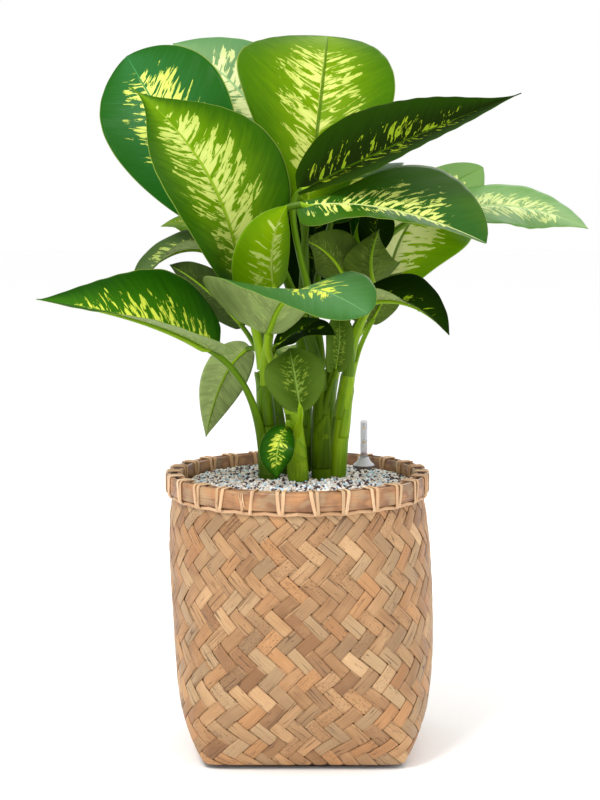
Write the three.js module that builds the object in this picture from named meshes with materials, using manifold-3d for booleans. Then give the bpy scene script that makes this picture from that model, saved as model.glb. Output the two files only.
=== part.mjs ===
// A potted dieffenbachia: seven leafy canes in mineral granules, in a plastic liner
// inside a woven bamboo basket, with a water-level gauge. Millimetres, +Z up, the
// viewer looks along +Y. The origin is the centre of the foot plate's underside.
import * as THREE from "three";
import { mergeVertices } from "three/addons/utils/BufferGeometryUtils.js";
import Module from "manifold-3d";

const wasm = await Module();
wasm.setup();

// Driving dimensions
const GAP = 0.35; // running gap between pieces that touch
// The hand-woven basket leans: upright at X = 0 up to AXIS_TURN, its rim centred at AXIS_TOP
const AXIS_TURN = 100;
const AXIS_TOP = -8;
const FOOT = { width: 134, depth: 214, height: 5, corner: 16 };
const RIM = { top: 340, height: 22, outer: 159.4, thick: 5, inner: 147.4 };
const STRAND = { pairs: 26, width: 9, thick: 1.8, ring: 4 };
const STRIP = { columns: 72, rows: 18, relief: 1.5, wall: 3.2, floor: 4 };
const LINER = { x: -5, bottom: 110, top: 139, height: 306, wall: 2.4, floor: 3 };
const SOIL = { edge: 327, crown: 334, radius: 135.7, rings: 4, sides: 26, bump: 1.4 };
const GAUGE = { x: 75, y: 82, radius: 4.7, bore: 3.7, top: 391, bottom: 165, collar: 13.5, rise: 13 };
const BLADE = { thick: 1, ridge: 2.6, ridgeReach: 0.07 };

// The basket's half width and squareness by height: a square woven base grows into a round mouth
const BASKET_PROFILE = [
  { z: 5.4, half: 122, square: 16 },
  { z: 12, half: 126.5, square: 12 },
  { z: 24, half: 133.5, square: 8 },
  { z: 42, half: 143, square: 5 },
  { z: 62, half: 151, square: 3.6 },
  { z: 90, half: 156, square: 2.8 },
  { z: 130, half: 159, square: 2.35 },
  { z: 200, half: 160.5, square: 2.05 },
  { z: 250, half: 160, square: 2 },
  { z: 290, half: 157, square: 2 },
  { z: 312, half: 153.6, square: 2 },
  { z: 338, half: 153.4, square: 2 },
];

const v3 = (x, y, z) => new THREE.Vector3(x, y, z);
const mix = THREE.MathUtils.lerp;
const smooth = THREE.MathUtils.smoothstep;
const radians = THREE.MathUtils.degToRad;

const paint = (color, roughness, metalness = 0) =>
  new THREE.MeshStandardMaterial({ color, roughness, metalness });
const BAMBOO = paint(0xc39a68, 0.7);
const HOOP = paint(0xb98552, 0.6);
const RATTAN = paint(0xd9b27c, 0.65);
const DARK_WOOD = paint(0x3b2d22, 0.6);
const LINER_BLACK = paint(0x1c1c1c, 0.6);
const GRANULES = paint(0xa69c94, 0.95);
const CLEAR = paint(0xd9dce0, 0.15);
const CAP_GREY = paint(0xa7a4ad, 0.25);
const FLOAT_RED = paint(0xb01420, 0.4);
const CANE_GREEN = paint(0x7fa02a, 0.45);
const DEEP_GREEN = paint(0x2c6a2a, 0.35);
const LIME_GREEN = paint(0x86b012, 0.4);

// A closed geometry from points and triangles
function geometryOf(points, triangles) {
  const g = new THREE.BufferGeometry();
  g.setAttribute("position", new THREE.Float32BufferAttribute(points.flatMap((p) => [p.x, p.y, p.z]), 3));
  g.setIndex(triangles);
  return g;
}

function solidOf(geometry) {
  const bare = geometry.clone();
  bare.deleteAttribute("normal");
  bare.deleteAttribute("uv");
  const merged = mergeVertices(bare, 1e-4);
  return new wasm.Manifold(
    new wasm.Mesh({
      numProp: 3,
      vertProperties: merged.attributes.position.array,
      triVerts: new Uint32Array(merged.index.array),
    }),
  );
}

// The largest body of a solid without its slivers, so that a cut leaves no loose scrap
function geometryFrom(solid) {
  const bodies = solid.simplify(0.02).decompose().sort((a, b) => b.volume() - a.volume());
  const mesh = bodies[0].getMesh();
  const g = new THREE.BufferGeometry();
  g.setAttribute("position", new THREE.BufferAttribute(new Float32Array(mesh.vertProperties), 3));
  g.setIndex(new THREE.BufferAttribute(new Uint32Array(mesh.triVerts), 1));
  return g;
}

const plant = new THREE.Group();

function addMesh(name, geometry, material) {
  const mesh = new THREE.Mesh(geometry, material);
  mesh.name = name;
  plant.add(mesh);
  return mesh;
}

// Skins a stack of rings, each an equal count of points going anticlockwise as seen from the last ring
function loft(rings) {
  const sides = rings[0].length;
  const triangles = [];
  const at = (i, k) => i * sides + (k % sides);
  for (let i = 0; i + 1 < rings.length; i++)
    for (let k = 0; k < sides; k++)
      triangles.push(at(i, k), at(i, k + 1), at(i + 1, k + 1), at(i, k), at(i + 1, k + 1), at(i + 1, k));
  const last = rings.length - 1;
  for (let k = 1; k + 1 < sides; k++) {
    triangles.push(at(0, 0), at(0, k + 1), at(0, k));
    triangles.push(at(last, 0), at(last, k), at(last, k + 1));
  }
  return geometryOf(rings.flat(), triangles);
}

// A tapered stem of round section along a curve, with its frame carried along without twist
function stem(curve, radiusAt, steps, sides, extra = 0) {
  const rings = [];
  let side = null;
  for (let i = 0; i <= steps; i++) {
    const u = i / steps;
    const tangent = curve.getTangent(u);
    if (!side) side = Math.abs(tangent.x) < 0.9 ? v3(1, 0, 0) : v3(0, 1, 0);
    side = side.clone().addScaledVector(tangent, -side.dot(tangent)).normalize();
    const other = tangent.clone().cross(side);
    const centre = curve.getPoint(u).addScaledVector(tangent, i === 0 ? -extra : i === steps ? extra : 0);
    const r = radiusAt(u) + extra;
    rings.push(
      Array.from({ length: sides }, (_, k) => {
        const a = (2 * Math.PI * k) / sides;
        return centre.clone().addScaledVector(side, r * Math.cos(a)).addScaledVector(other, r * Math.sin(a));
      }),
    );
  }
  return solidOf(loft(rings));
}

// The basket
function basketAt(z) {
  const rows = BASKET_PROFILE;
  let i = 0;
  while (i + 2 < rows.length && z > rows[i + 1].z) i++;
  const f = THREE.MathUtils.clamp((z - rows[i].z) / (rows[i + 1].z - rows[i].z), 0, 1);
  return { half: mix(rows[i].half, rows[i + 1].half, f), square: mix(rows[i].square, rows[i + 1].square, f) };
}

const axisX = (z) => AXIS_TOP * smooth(z, AXIS_TURN, RIM.top);

// A point of the wall at an angle and height, moved outwards by so much
function wallPoint(angle, z, out) {
  const { half, square } = basketAt(z);
  const c = Math.abs(Math.cos(angle)) ** square;
  const s = Math.abs(Math.sin(angle)) ** square;
  const r = half / (c + s) ** (1 / square) + out;
  return v3(axisX(z) + r * Math.cos(angle), r * Math.sin(angle), z);
}

// Strips cross at 45 degrees, over two and under two, so bands of slanting floats alternate.
// On a grid of half a strip's diagonal, even points are the strips' corners and odd ones their crowns.
function basketWall() {
  const { columns, rows, relief, wall, floor } = STRIP;
  const low = BASKET_PROFILE[0].z;
  const high = BASKET_PROFILE.at(-1).z;
  const angleAt = (i) => (2 * Math.PI * i) / columns;
  const zAt = (j) => mix(low, high, j / rows);
  const points = [];
  const triangles = [];
  const id = (i, j) => j * columns + ((i + columns) % columns);
  for (let j = 0; j <= rows; j++)
    for (let i = 0; i < columns; i++) {
      const crown = (i + j) % 2 !== 0 && j > 0 && j < rows;
      points.push(wallPoint(angleAt(i), zAt(j), crown ? 0 : -relief));
    }
  for (let j = 0; j < rows; j++)
    for (let i = 0; i < columns; i++) {
      const a = id(i, j);
      const b = id(i + 1, j);
      const c = id(i + 1, j + 1);
      const d = id(i, j + 1);
      // The crowns of this square lie on its rising or its falling diagonal
      const rising = (i + j) % 2 !== 0;
      const band = j % 4 < 2;
      const sameStrip = rising ? band && j % 2 === 0 : !band && j % 2 === 0;
      const alongRising = rising === sameStrip;
      if (alongRising) triangles.push(a, b, c, a, c, d);
      else triangles.push(a, b, d, b, c, d);
    }
  // Inside: a plain wall of a third of the columns, down to the woven floor
  const inner = columns / 2;
  const levels = [high, 312, 250, 130, 62, 24, low + floor];
  const first = points.length;
  for (const z of levels)
    for (let i = 0; i < inner; i++)
      points.push(wallPoint((2 * Math.PI * i) / inner, z, -relief - wall));
  const inId = (i, l) => first + l * inner + (i % inner);
  for (let l = 0; l + 1 < levels.length; l++)
    for (let i = 0; i < inner; i++)
      triangles.push(inId(i, l), inId(i + 1, l), inId(i + 1, l + 1), inId(i, l), inId(i + 1, l + 1), inId(i, l + 1));
  for (let i = 0; i < inner; i++) {
    const outer = [id(2 * i, rows), id(2 * i + 1, rows), id(2 * i + 2, rows)];
    triangles.push(outer[0], outer[1], inId(i, 0), outer[1], inId(i + 1, 0), inId(i, 0), outer[1], outer[2], inId(i + 1, 0));
  }
  const under = points.push(v3(0, 0, low)) - 1;
  const over = points.push(v3(0, 0, low + floor)) - 1;
  for (let i = 0; i < columns; i++) triangles.push(under, id(i + 1, 0), id(i, 0));
  for (let i = 0; i < inner; i++) triangles.push(over, inId(i, levels.length - 1), inId(i + 1, levels.length - 1));
  return geometryOf(points, triangles);
}

// Every lashing turn lies on the middle of a flat side
const HOOP_SIDES = 2 * STRAND.pairs;

// A round hoop turned about the basket's mouth, its top and foot crowned by so much
function hoop(inner, outer, low, high, crown) {
  const middle = (inner + outer) / 2;
  const foot = crown ? [[inner, low + crown], [middle, low], [outer, low + crown]] : [[inner, low], [outer, low]];
  const head = crown ? [[outer, high - crown], [middle, high], [inner, high - crown]] : [[outer, high], [inner, high]];
  const section = [...foot, ...head, foot[0]].map(([r, z]) => new THREE.Vector2(r, z));
  const ring = new THREE.LatheGeometry(section, HOOP_SIDES).rotateX(Math.PI / 2);
  return ring.rotateZ(Math.PI / HOOP_SIDES).translate(AXIS_TOP, 0, 0);
}

// Rattan turns over both hoops, tied together by the strand that runs on below them
function lashing() {
  const { pairs, width, thick, ring } = STRAND;
  const out = RIM.outer + GAP;
  const inside = RIM.inner - RIM.thick - 2 * GAP;
  const foot = RIM.top - RIM.height - GAP;
  const strand = hoop(out - ring, out + thick, foot - ring, foot, 0);
  let all = solidOf(strand);
  const outline = new THREE.Shape([
    [out, foot - ring + 0.5], [out + thick, foot - ring + 0.5], [out + thick, RIM.top + GAP],
    [out, RIM.top + GAP + thick], [inside, RIM.top + GAP + thick], [inside - thick, RIM.top + GAP],
    [inside - thick, RIM.top - RIM.height], [inside, RIM.top - RIM.height], [inside, RIM.top + GAP],
    [out, RIM.top + GAP],
  ].map(([x, y]) => new THREE.Vector2(x, y)));
  for (let i = 0; i < pairs; i++) {
    const turn = new THREE.ExtrudeGeometry(outline, { depth: width, bevelEnabled: false });
    turn.translate(0, 0, -width / 2).rotateX(Math.PI / 2).rotateZ((2 * Math.PI * i) / pairs);
    all = all.add(solidOf(turn.translate(AXIS_TOP, 0, 0)));
  }
  return geometryFrom(all);
}

function footPlate() {
  const { width, depth, height, corner } = FOOT;
  const shape = new THREE.Shape();
  const x = width / 2;
  const y = depth / 2;
  shape.moveTo(-x + corner, -y);
  shape.lineTo(x - corner, -y).absarc(x - corner, -y + corner, corner, -Math.PI / 2, 0, false);
  shape.lineTo(x, y - corner).absarc(x - corner, y - corner, corner, 0, Math.PI / 2, false);
  shape.lineTo(-x + corner, y).absarc(-x + corner, y - corner, corner, Math.PI / 2, Math.PI, false);
  shape.lineTo(-x, -y + corner).absarc(-x + corner, -y + corner, corner, Math.PI, 1.5 * Math.PI, false);
  return new THREE.ExtrudeGeometry(shape, { depth: height, bevelEnabled: false, curveSegments: 4 });
}

// A closed outline of [radius, height] turned about the Z axis
function turned(outline, sides, x, y) {
  const points = [...outline, outline[0]].map(([r, z]) => new THREE.Vector2(r, z));
  return new THREE.LatheGeometry(points, sides).rotateX(Math.PI / 2).translate(x, y, 0);
}

function liner() {
  const { bottom, top, height, wall, floor } = LINER;
  const base = BASKET_PROFILE[0].z + STRIP.floor + GAP;
  const high = base + height;
  return turned(
    [
      [0, base + floor], [0, base], [bottom, base], [top, high],
      [top - wall, high], [bottom - wall, base + floor],
    ],
    32, LINER.x, 0,
  );
}

// Granules: a low mound whose top is rough, down to the liner's floor
function soilHeight(x, y) {
  const r = Math.hypot(x, y) / SOIL.radius;
  const rough = Math.sin(x * 0.31 + 1.3 * Math.sin(y * 0.23)) * Math.cos(y * 0.37 + Math.sin(x * 0.19));
  return mix(SOIL.crown, SOIL.edge, r * r) + SOIL.bump * rough * (1 - r ** 6);
}

function soil(holes) {
  const { radius, rings, sides } = SOIL;
  const base = BASKET_PROFILE[0].z + STRIP.floor + LINER.floor + 2 * GAP;
  const centre = LINER.x;
  const lower = LINER.bottom - LINER.wall - 1;
  const points = [v3(centre, 0, soilHeight(0, 0))];
  const triangles = [];
  const id = (l, k) => 1 + l * sides + (k % sides);
  for (let l = 1; l <= rings; l++)
    for (let k = 0; k < sides; k++) {
      const a = (2 * Math.PI * (k + (l % 2) / 2)) / sides;
      const x = ((radius * l) / rings) * Math.cos(a);
      const y = ((radius * l) / rings) * Math.sin(a);
      points.push(v3(centre + x, y, soilHeight(x, y)));
    }
  const rimAngle = (k) => (2 * Math.PI * (k + (rings % 2) / 2)) / sides;
  for (const [r, z] of [[radius, LINER.height + base - LINER.floor - 2], [lower, base]])
    for (let k = 0; k < sides; k++)
      points.push(v3(centre + r * Math.cos(rimAngle(k)), r * Math.sin(rimAngle(k)), z));
  const layers = rings + 2;
  for (let k = 0; k < sides; k++) triangles.push(0, id(0, k), id(0, k + 1));
  for (let l = 0; l + 1 < layers; l++)
    for (let k = 0; k < sides; k++) {
      // Odd rings are turned by half a step
      const shifted = l < rings - 1 && l % 2 === 0;
      const [p, q, r, s] = [id(l, k), id(l + 1, k), id(l + 1, k + 1), id(l, k + 1)];
      if (shifted) triangles.push(p, r, s, p, q, r);
      else triangles.push(p, q, s, q, r, s);
    }
  const bottom = points.push(v3(centre, 0, base)) - 1;
  for (let k = 0; k < sides; k++) triangles.push(bottom, id(layers - 1, k + 1), id(layers - 1, k));
  let solid = solidOf(geometryOf(points, triangles));
  for (const hole of holes) solid = solid.subtract(hole);
  return geometryFrom(solid);
}

// The gauge: a clear tube with a flared collar, and the float whose red head shows the water level
function gaugeTube() {
  const { radius, bore, top, bottom, x, y } = GAUGE;
  return turned([[0, top - 2], [bore, top - 3], [bore, bottom], [radius, bottom], [radius, top - 1], [radius - 1, top], [0, top]], 12, x, y);
}

function gaugeCollar(seat) {
  const { radius, collar, rise, x, y } = GAUGE;
  const bore = radius + GAP;
  return turned(
    [
      [bore, seat], [collar, seat], [collar, seat + 3], [collar - 1.2, seat + 4.2],
      [collar - 4, seat + 6.5], [radius + 2, seat + rise - 2.5], [radius + 1.6, seat + rise], [bore, seat + rise],
    ],
    12, x, y,
  );
}

function gaugeFloat(seat) {
  const { x, y, bottom } = GAUGE;
  const head = seat + GAUGE.rise + 1.5;
  return turned(
    [
      [0, bottom + 12], [3, bottom + 14], [3, bottom + 60], [0.9, bottom + 62],
      [0.9, head], [2.9, head], [2.9, head + 4], [0, head + 4],
    ],
    10, x, y,
  );
}

// Canes: where each leaves the soil, where it ends, and its radius at the foot
const ROOT_DEPTH = 95;
const CANES = {
  cane_a: { foot: [-41, -12, 332], head: [-50, -20, 468], radius: 13 },
  cane_b: { foot: [-5, -28, 334], head: [-16, -38, 440], radius: 12 },
  cane_c: { foot: [21, -16, 334], head: [20, -18, 470], radius: 12 },
  cane_d: { foot: [36, 6, 332], head: [56, 0, 478], radius: 12 },
  cane_e: { foot: [24, 34, 334], head: [34, 34, 480], radius: 10 },
  cane_f: { foot: [-24, 26, 333], head: [-46, 32, 480], radius: 11 },
  cane_g: { foot: [0, 40, 332], head: [0, 62, 490], radius: 11 },
};

function caneCurve({ foot, head }) {
  const low = v3(...foot);
  const high = v3(...head);
  const root = low.clone().add(v3(0, 0, -ROOT_DEPTH));
  return new THREE.CubicBezierCurve3(root, low.clone().add(v3(0, 0, 12)), mixPoint(low, high, 0.55), high);
}

const mixPoint = (a, b, f) => a.clone().lerp(b, f);
const caneRadius = (cane) => (u) => cane.radius * mix(1, 0.62, smooth(u, 0.35, 1));

// Leaves. base, mid and tip are points of the midrib, face is the way the upper side looks,
// fold and curl are the rise of the left and right half from the midrib, in degrees,
// ease is each half's share of its fold left at the tip, relax how fast it gets there,
// left and right are each half's part of its full width at the base and at the tip,
// twist turns the blade about its midrib at the base, neck, point and swell shape its outline,
// leave is how far up the cane the leaf stalk parts from it, tone is the leaf's green.
const LEAVES = [
  { name: "leaf_01", cane: "cane_f", leave: 0.9, base: [-102, 20, 640], mid: [-166, 40, 757], tip: [-219, 104, 842],
    face: [-0.2, -1, 0.25], width: 178,
    fold: [8, 14], curl: [14, -10], neck: 0.62, point: 0.75, left: [0.85, 0.82], tone: "deep" },
  { name: "leaf_02", cane: "cane_a", leave: 1, base: [-77, -40, 587], mid: [-119, -54, 712], tip: [-207, -20, 806],
    face: [0.45, -0.9, 0.2], width: 192,
    fold: [34, 12], curl: [10, -12], neck: 0.34, point: 2.6, swell: 4, tone: "lime" },
  { name: "leaf_03", cane: "cane_g", leave: 0.85, base: [-10, 80, 672], mid: [-73, 120, 791], tip: [-166, 190, 858],
    face: [0.2, -1, 0.4], width: 146, fold: [12, 12], curl: [0, 0], tone: "deep" },
  { name: "leaf_04", cane: "cane_g", leave: 1, base: [5, 40, 664], mid: [22, 66, 800], tip: [30, 172, 867],
    face: [0, -1, 0.1], width: 192,
    fold: [8, 10], curl: [-6, -6], neck: 0.55, point: 0.72, left: [0.82, 1.2], right: [0.95, 0.92], tone: "lime" },
  { name: "leaf_05", cane: "cane_c", leave: 1, base: [-2, -28, 684], mid: [118, -42, 742], tip: [255, -56, 799],
    face: [-0.4, -0.5, 0.85], width: 164, fold: [16, 24], curl: [0, 0], point: 1.8, reach: 0.18, tone: "deep" },
  { name: "leaf_06", cane: "cane_c", leave: 0.85, base: [-4, -100, 671], mid: [98, -110, 666], tip: [211, -118, 627],
    face: [0, -0.25, 1], width: 142,
    fold: [12, -60], curl: [0, 0], neck: 0.36, point: 0.58, ease: [1.3, -0.08], relax: 4, left: [0.2, 1.8], right: [0.7, 0.34], tone: "deep" },
  { name: "leaf_07", cane: "cane_e", leave: 1, base: [167, 60, 655], mid: [264, 84, 657], tip: [349, 60, 632],
    face: [0.1, -0.3, 1], width: 116, fold: [8, -6], curl: [0, 0], tone: "deep" },
  { name: "leaf_08", cane: "cane_e", leave: 0.85, base: [104, 84, 555], mid: [138, 94, 646], tip: [226, 150, 703],
    face: [0, -1, 0.1], width: 158,
    fold: [10, 10], curl: [0, 0], point: 0.7, left: [1, 0.42], right: [0.85, 0.95], tone: "lime" },
  { name: "leaf_09", cane: "cane_a", leave: 0.32, base: [-112, -75, 498], mid: [-194, -112, 538], tip: [-309, -140, 564],
    face: [0.2, -0.3, 0.96], width: 160,
    fold: [30, 38], curl: [0, 0], neck: 0.36, point: 1.4, lobe: 14, tone: "deep" },
  { name: "leaf_10", cane: "cane_f", leave: 0.7, base: [-92, 36, 592], mid: [-150, 38, 607], tip: [-210, 20, 562],
    face: [0, -0.3, 0.95], width: 66, fold: [46, 26], curl: [0, 0], neck: 0.6, point: 0.9, tone: "deep" },
  { name: "leaf_11", cane: "cane_f", leave: 0.8, base: [-84, 86, 589], mid: [-132, 100, 633], tip: [-180, 130, 630],
    face: [0.2, -0.6, 0.8], width: 58, fold: [10, 10], curl: [0, 0], tone: "lime" },
  { name: "leaf_12", cane: "cane_a", leave: 0.9, base: [-36, -80, 572], mid: [-36, -104, 627], tip: [-20, -114, 671],
    face: [0.1, -1, 0.2], width: 98,
    fold: [12, -42], curl: [0, 0], neck: 0.14, ease: [0.8, 0.9], right: [0.6, 0.6], tone: "lime" },
  { name: "leaf_13", cane: "cane_b", leave: 0.85, base: [-43, -80, 518], mid: [-5, -130, 574], tip: [72, -190, 552],
    face: [0, 0, 1], width: 156,
    fold: [10, 30], curl: [0, 0], point: 0.55, ease: [2.2, -0.75], left: [0.9, 0.87], right: [1.75, 1], twist: 14, lobe: 2, tone: "deep" },
  { name: "leaf_14", cane: "cane_d", leave: 0.9, base: [66, -58, 552], mid: [122, -82, 554], tip: [170, -100, 518],
    face: [0, -0.26, 0.97], width: 86, fold: [30, 42], curl: [0, 0], pull: 0.55, tone: "deep" },
  { name: "leaf_15", cane: "cane_d", leave: 1, base: [84, -20, 572], mid: [80, -30, 603], tip: [90, -12, 636],
    face: [0, 1, 0.2], width: 80, fold: [30, 40], curl: [0, 0], neck: 0.25, point: 1.5, pull: 0.6, tone: "deep" },
  { name: "leaf_16", cane: "cane_c", leave: 0.75, base: [50, 2, 576], mid: [30, -2, 605], tip: [2, 10, 621],
    face: [0, 1, 0.4], width: 72, fold: [20, 30], curl: [0, 0], neck: 0.35, tone: "deep" },
  { name: "leaf_17", cane: "cane_b", leave: 0.6, base: [-5, -92, 432], mid: [-12, -104, 477], tip: [-18, -80, 500],
    face: [0, -1, 0.1], width: 72, fold: [8, 8], curl: [0, 0], pull: 0.3, tone: "deep" },
  { name: "leaf_18", cane: "cane_b", leave: 0.75, base: [-31, -56, 502], mid: [1, -67, 521], tip: [37, -80, 516],
    face: [0, -0.5, 0.9], width: 50, fold: [10, 10], curl: [0, 0], tone: "deep" },
  { name: "leaf_19", cane: "cane_c", leave: 0.65, base: [38, -44, 472], mid: [42, -54, 504], tip: [42, -40, 538],
    face: [0.3, -1, 0.2], width: 36, fold: [10, 10], curl: [0, 0], neck: 0.25, point: 0.5, tone: "deep" },
  { name: "leaf_20", cane: "cane_b", leave: 0.5, base: [-23, -62, 400], mid: [-33, -80, 376], tip: [-32, -78, 345],
    face: [0, -1, 0.3], width: 42, fold: [10, 10], curl: [0, 0], pull: 0.3, tone: "deep" },
  { name: "leaf_21", cane: "cane_f", leave: 0.6, base: [-70, 30, 486], mid: [-100, 50, 446], tip: [-122, 60, 373],
    face: [0.2, 1, 0.3], width: 56, fold: [10, 10], curl: [0, 0], tone: "deep" },
  { name: "leaf_22", cane: "cane_d", leave: 0.8, base: [84, 24, 524], mid: [100, 30, 552], tip: [120, 40, 580],
    face: [0, 1, 0.5], width: 44, fold: [10, 10], curl: [0, 0], tone: "deep" },
  { name: "leaf_23", cane: "cane_f", leave: 0.65, base: [-78, 10, 520], mid: [-120, 12, 563], tip: [-164, 30, 590],
    face: [0, 1, 0.5], width: 56, fold: [10, 10], curl: [0, 0], tone: "deep" },
  { name: "leaf_24", cane: "cane_e", leave: 0.9, base: [85, 24, 608], mid: [88, 14, 640], tip: [95, 30, 665],
    face: [0, -1, 0.2], width: 45, fold: [10, 10], curl: [0, 0], tone: "deep" },
  { name: "leaf_25", cane: "cane_g", leave: 0.8, base: [34, 100, 640], mid: [60, 180, 700], tip: [84, 275, 690],
    face: [0, -0.4, 1], width: 140, fold: [12, 12], curl: [0, 0], tone: "deep" },
  { name: "leaf_26", cane: "cane_f", leave: 1, base: [-50, 124, 590], mid: [-100, 200, 650], tip: [-140, 284, 628],
    face: [0, -0.3, 1], width: 120, fold: [12, 12], curl: [0, 0], tone: "deep" },
  { name: "leaf_27", cane: "cane_e", leave: 0.75, base: [80, 120, 610], mid: [140, 190, 670], tip: [196, 270, 650],
    face: [-0.1, -0.3, 1], width: 126, fold: [12, 12], curl: [0, 0], tone: "deep" },
  { name: "leaf_28", cane: "cane_g", leave: 0.7, base: [10, 110, 540], mid: [14, 150, 620], tip: [10, 180, 690],
    face: [0, -1, 0.4], width: 100, fold: [12, 12], curl: [0, 0], tone: "deep" },
  { name: "leaf_29", cane: "cane_f", leave: 0.75, base: [-60, 80, 520], mid: [-112, 140, 556], tip: [-166, 196, 516],
    face: [0.1, -0.2, 1], width: 100, fold: [12, 12], curl: [0, 0], tone: "deep" },
  { name: "leaf_30", cane: "cane_e", leave: 0.65, base: [70, 110, 516], mid: [112, 172, 550], tip: [150, 236, 512],
    face: [-0.1, -0.2, 1], width: 96, fold: [12, 12], curl: [0, 0], tone: "deep" },
  { name: "leaf_31", cane: "cane_g", leave: 0.6, base: [-15, 110, 462], mid: [-20, 165, 474], tip: [-22, 215, 430],
    face: [0, 0.1, 1], width: 70, fold: [12, 12], curl: [0, 0], tone: "lime" },
];

const TONES = { deep: DEEP_GREEN, lime: LIME_GREEN };

// The midrib runs through base, mid and tip
function midrib({ base, mid, tip }) {
  const [a, b, c] = [base, mid, tip].map((p) => v3(...p));
  const control = b.clone().multiplyScalar(2).addScaledVector(a, -0.5).addScaledVector(c, -0.5);
  return new THREE.QuadraticBezierCurve3(a, control, c);
}

// Half the blade's width along it: a broad rounded base, widest before the middle, a pointed tip
function outlineAt(s, neck, point, swell) {
  const widest = (neck / (neck + point * swell)) ** (1 / swell);
  const shape = (x) => (x + 0.015) ** neck * (1 - x ** swell) ** point;
  return Math.max(0.012, shape(s) / shape(widest));
}

// How far a half blade reaches sideways and upwards when it leaves the rib at one slope and ends at another
function halfBlade(fold, curl, reach) {
  const a = radians(fold);
  const c = radians(curl);
  if (Math.abs(c) < 1e-3) return [reach * Math.cos(a), reach * Math.sin(a)];
  return [(reach * (Math.sin(a + c) - Math.sin(a))) / c, (reach * (Math.cos(a) - Math.cos(a + c))) / c];
}

// A point of the blade: s runs from base to tip, t from the left edge, -1, to the right, 1
function bladePoint(leaf, rib, s, t) {
  const { face, width, fold, curl, wave = 3, lobe = 6, nod = 0, neck = 0.5, point = 1.1, swell = 2.2 } = leaf;
  const { ease = [0.55, 0.55], relax = 1, left = [1, 1], right = [1, 1], twist = 0 } = leaf;
  const tangent = rib.getTangent(s);
  const up = v3(...face);
  up.addScaledVector(tangent, -up.dot(tangent)).normalize();
  const roll = radians(twist) * (1 - smooth(s, 0, 0.75));
  up.applyAxisAngle(tangent, roll);
  const side = tangent.clone().cross(up);
  const half = t < 0 ? 0 : 1;
  const open = mix(ease[half], 1, (1 - s) ** relax);
  const trim = mix(...(half ? right : left), smooth(s, 0, 0.8));
  const spread = outlineAt(s, neck, point, swell) * (width / 2) * Math.abs(t) * trim;
  const [reach, rise] = halfBlade(fold[half] * open, curl[half] * open * Math.abs(t), spread);
  const ripple = wave * t * t * Math.sin(9 * s + 1.9 * half + width) * Math.sin(Math.PI * s);
  const bend = nod * smooth(s, 0.55, 1) ** 2;
  return rib
    .getPoint(s)
    .addScaledVector(side, t < 0 ? -reach : reach)
    .addScaledVector(up, rise + ripple + bend)
    .addScaledVector(tangent, -lobe * (1 - s) ** 4 * Math.abs(t) ** 1.5);
}

// The blade as a thin solid, its two faces split into triangles alike; big blades get a raised midrib below
function bladeSolid(leaf, rib) {
  const { thick, ridge, ridgeReach } = BLADE;
  const big = leaf.width >= 130;
  const along = big ? 6 : 5;
  const stations = big ? [-1, -0.5, -ridgeReach, 0, ridgeReach, 0.5, 1] : [-1, -0.5, 0, 0.5, 1];
  const across = stations.length - 1;
  const faces = [[], []];
  const step = 0.02;
  for (let i = 0; i <= along; i++)
    for (const t of stations) {
      const s = (i / along) ** 1.15;
      const here = bladePoint(leaf, rib, s, t);
      const ahead = bladePoint(leaf, rib, Math.min(1, s + step), t).sub(bladePoint(leaf, rib, Math.max(0, s - step), t));
      const aside = bladePoint(leaf, rib, s, Math.min(1, t + step)).sub(bladePoint(leaf, rib, s, Math.max(-1, t - step)));
      const normal = aside.cross(ahead).normalize();
      const below = thick / 2 + (t === 0 ? ridge * (1 - s) : 0);
      faces[0].push(here.clone().addScaledVector(normal, thick / 2));
      faces[1].push(here.clone().addScaledVector(normal, -below));
    }
  const row = across + 1;
  const count = faces[0].length;
  const triangles = [];
  for (let i = 0; i < along; i++)
    for (let j = 0; j < across; j++) {
      const [a, b, c, d] = [i * row + j, i * row + j + 1, (i + 1) * row + j + 1, (i + 1) * row + j];
      triangles.push(a, b, c, a, c, d);
      triangles.push(count + a, count + c, count + b, count + a, count + d, count + c);
    }
  const edge = [];
  for (let j = 0; j < across; j++) edge.push(j);
  for (let i = 0; i < along; i++) edge.push(i * row + across);
  for (let j = across; j > 0; j--) edge.push(along * row + j);
  for (let i = along; i > 0; i--) edge.push(i * row);
  edge.forEach((a, k) => {
    const b = edge[(k + 1) % edge.length];
    triangles.push(a, count + a, count + b, a, count + b, b);
  });
  return solidOf(geometryOf(faces.flat(), triangles));
}

const STALK = { foot: 6.4, top: 4 };

// The leaf stalk rises from the cane's side or top and runs into the midrib
function stalkCurve(leaf, rib) {
  const cane = CANES[leaf.cane];
  const curve = caneCurve(cane);
  const start = curve.getPoint(leaf.leave);
  const rise = curve.getTangent(leaf.leave);
  const end = rib.getPoint(0);
  const away = end.clone().sub(start);
  away.addScaledVector(rise, -away.dot(rise)).normalize();
  if (leaf.leave < 1) start.addScaledVector(away, cane.radius * 0.45);
  const span = start.distanceTo(end);
  const arrive = rib.getTangent(0);
  const { pull = 0.4, reach = 0.35 } = leaf;
  return new THREE.CubicBezierCurve3(
    start,
    start.clone().addScaledVector(rise, span * pull),
    end.clone().addScaledVector(arrive, -span * reach),
    end,
  );
}

const stalkRadius = (u) => mix(STALK.foot, STALK.top, smooth(u, 0, 0.7));

const caneSolids = {};
for (const [name, cane] of Object.entries(CANES))
  caneSolids[name] = {
    plain: stem(caneCurve(cane), caneRadius(cane), 5, 8),
    grown: stem(caneCurve(cane), caneRadius(cane), 5, 8, GAP),
  };

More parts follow.
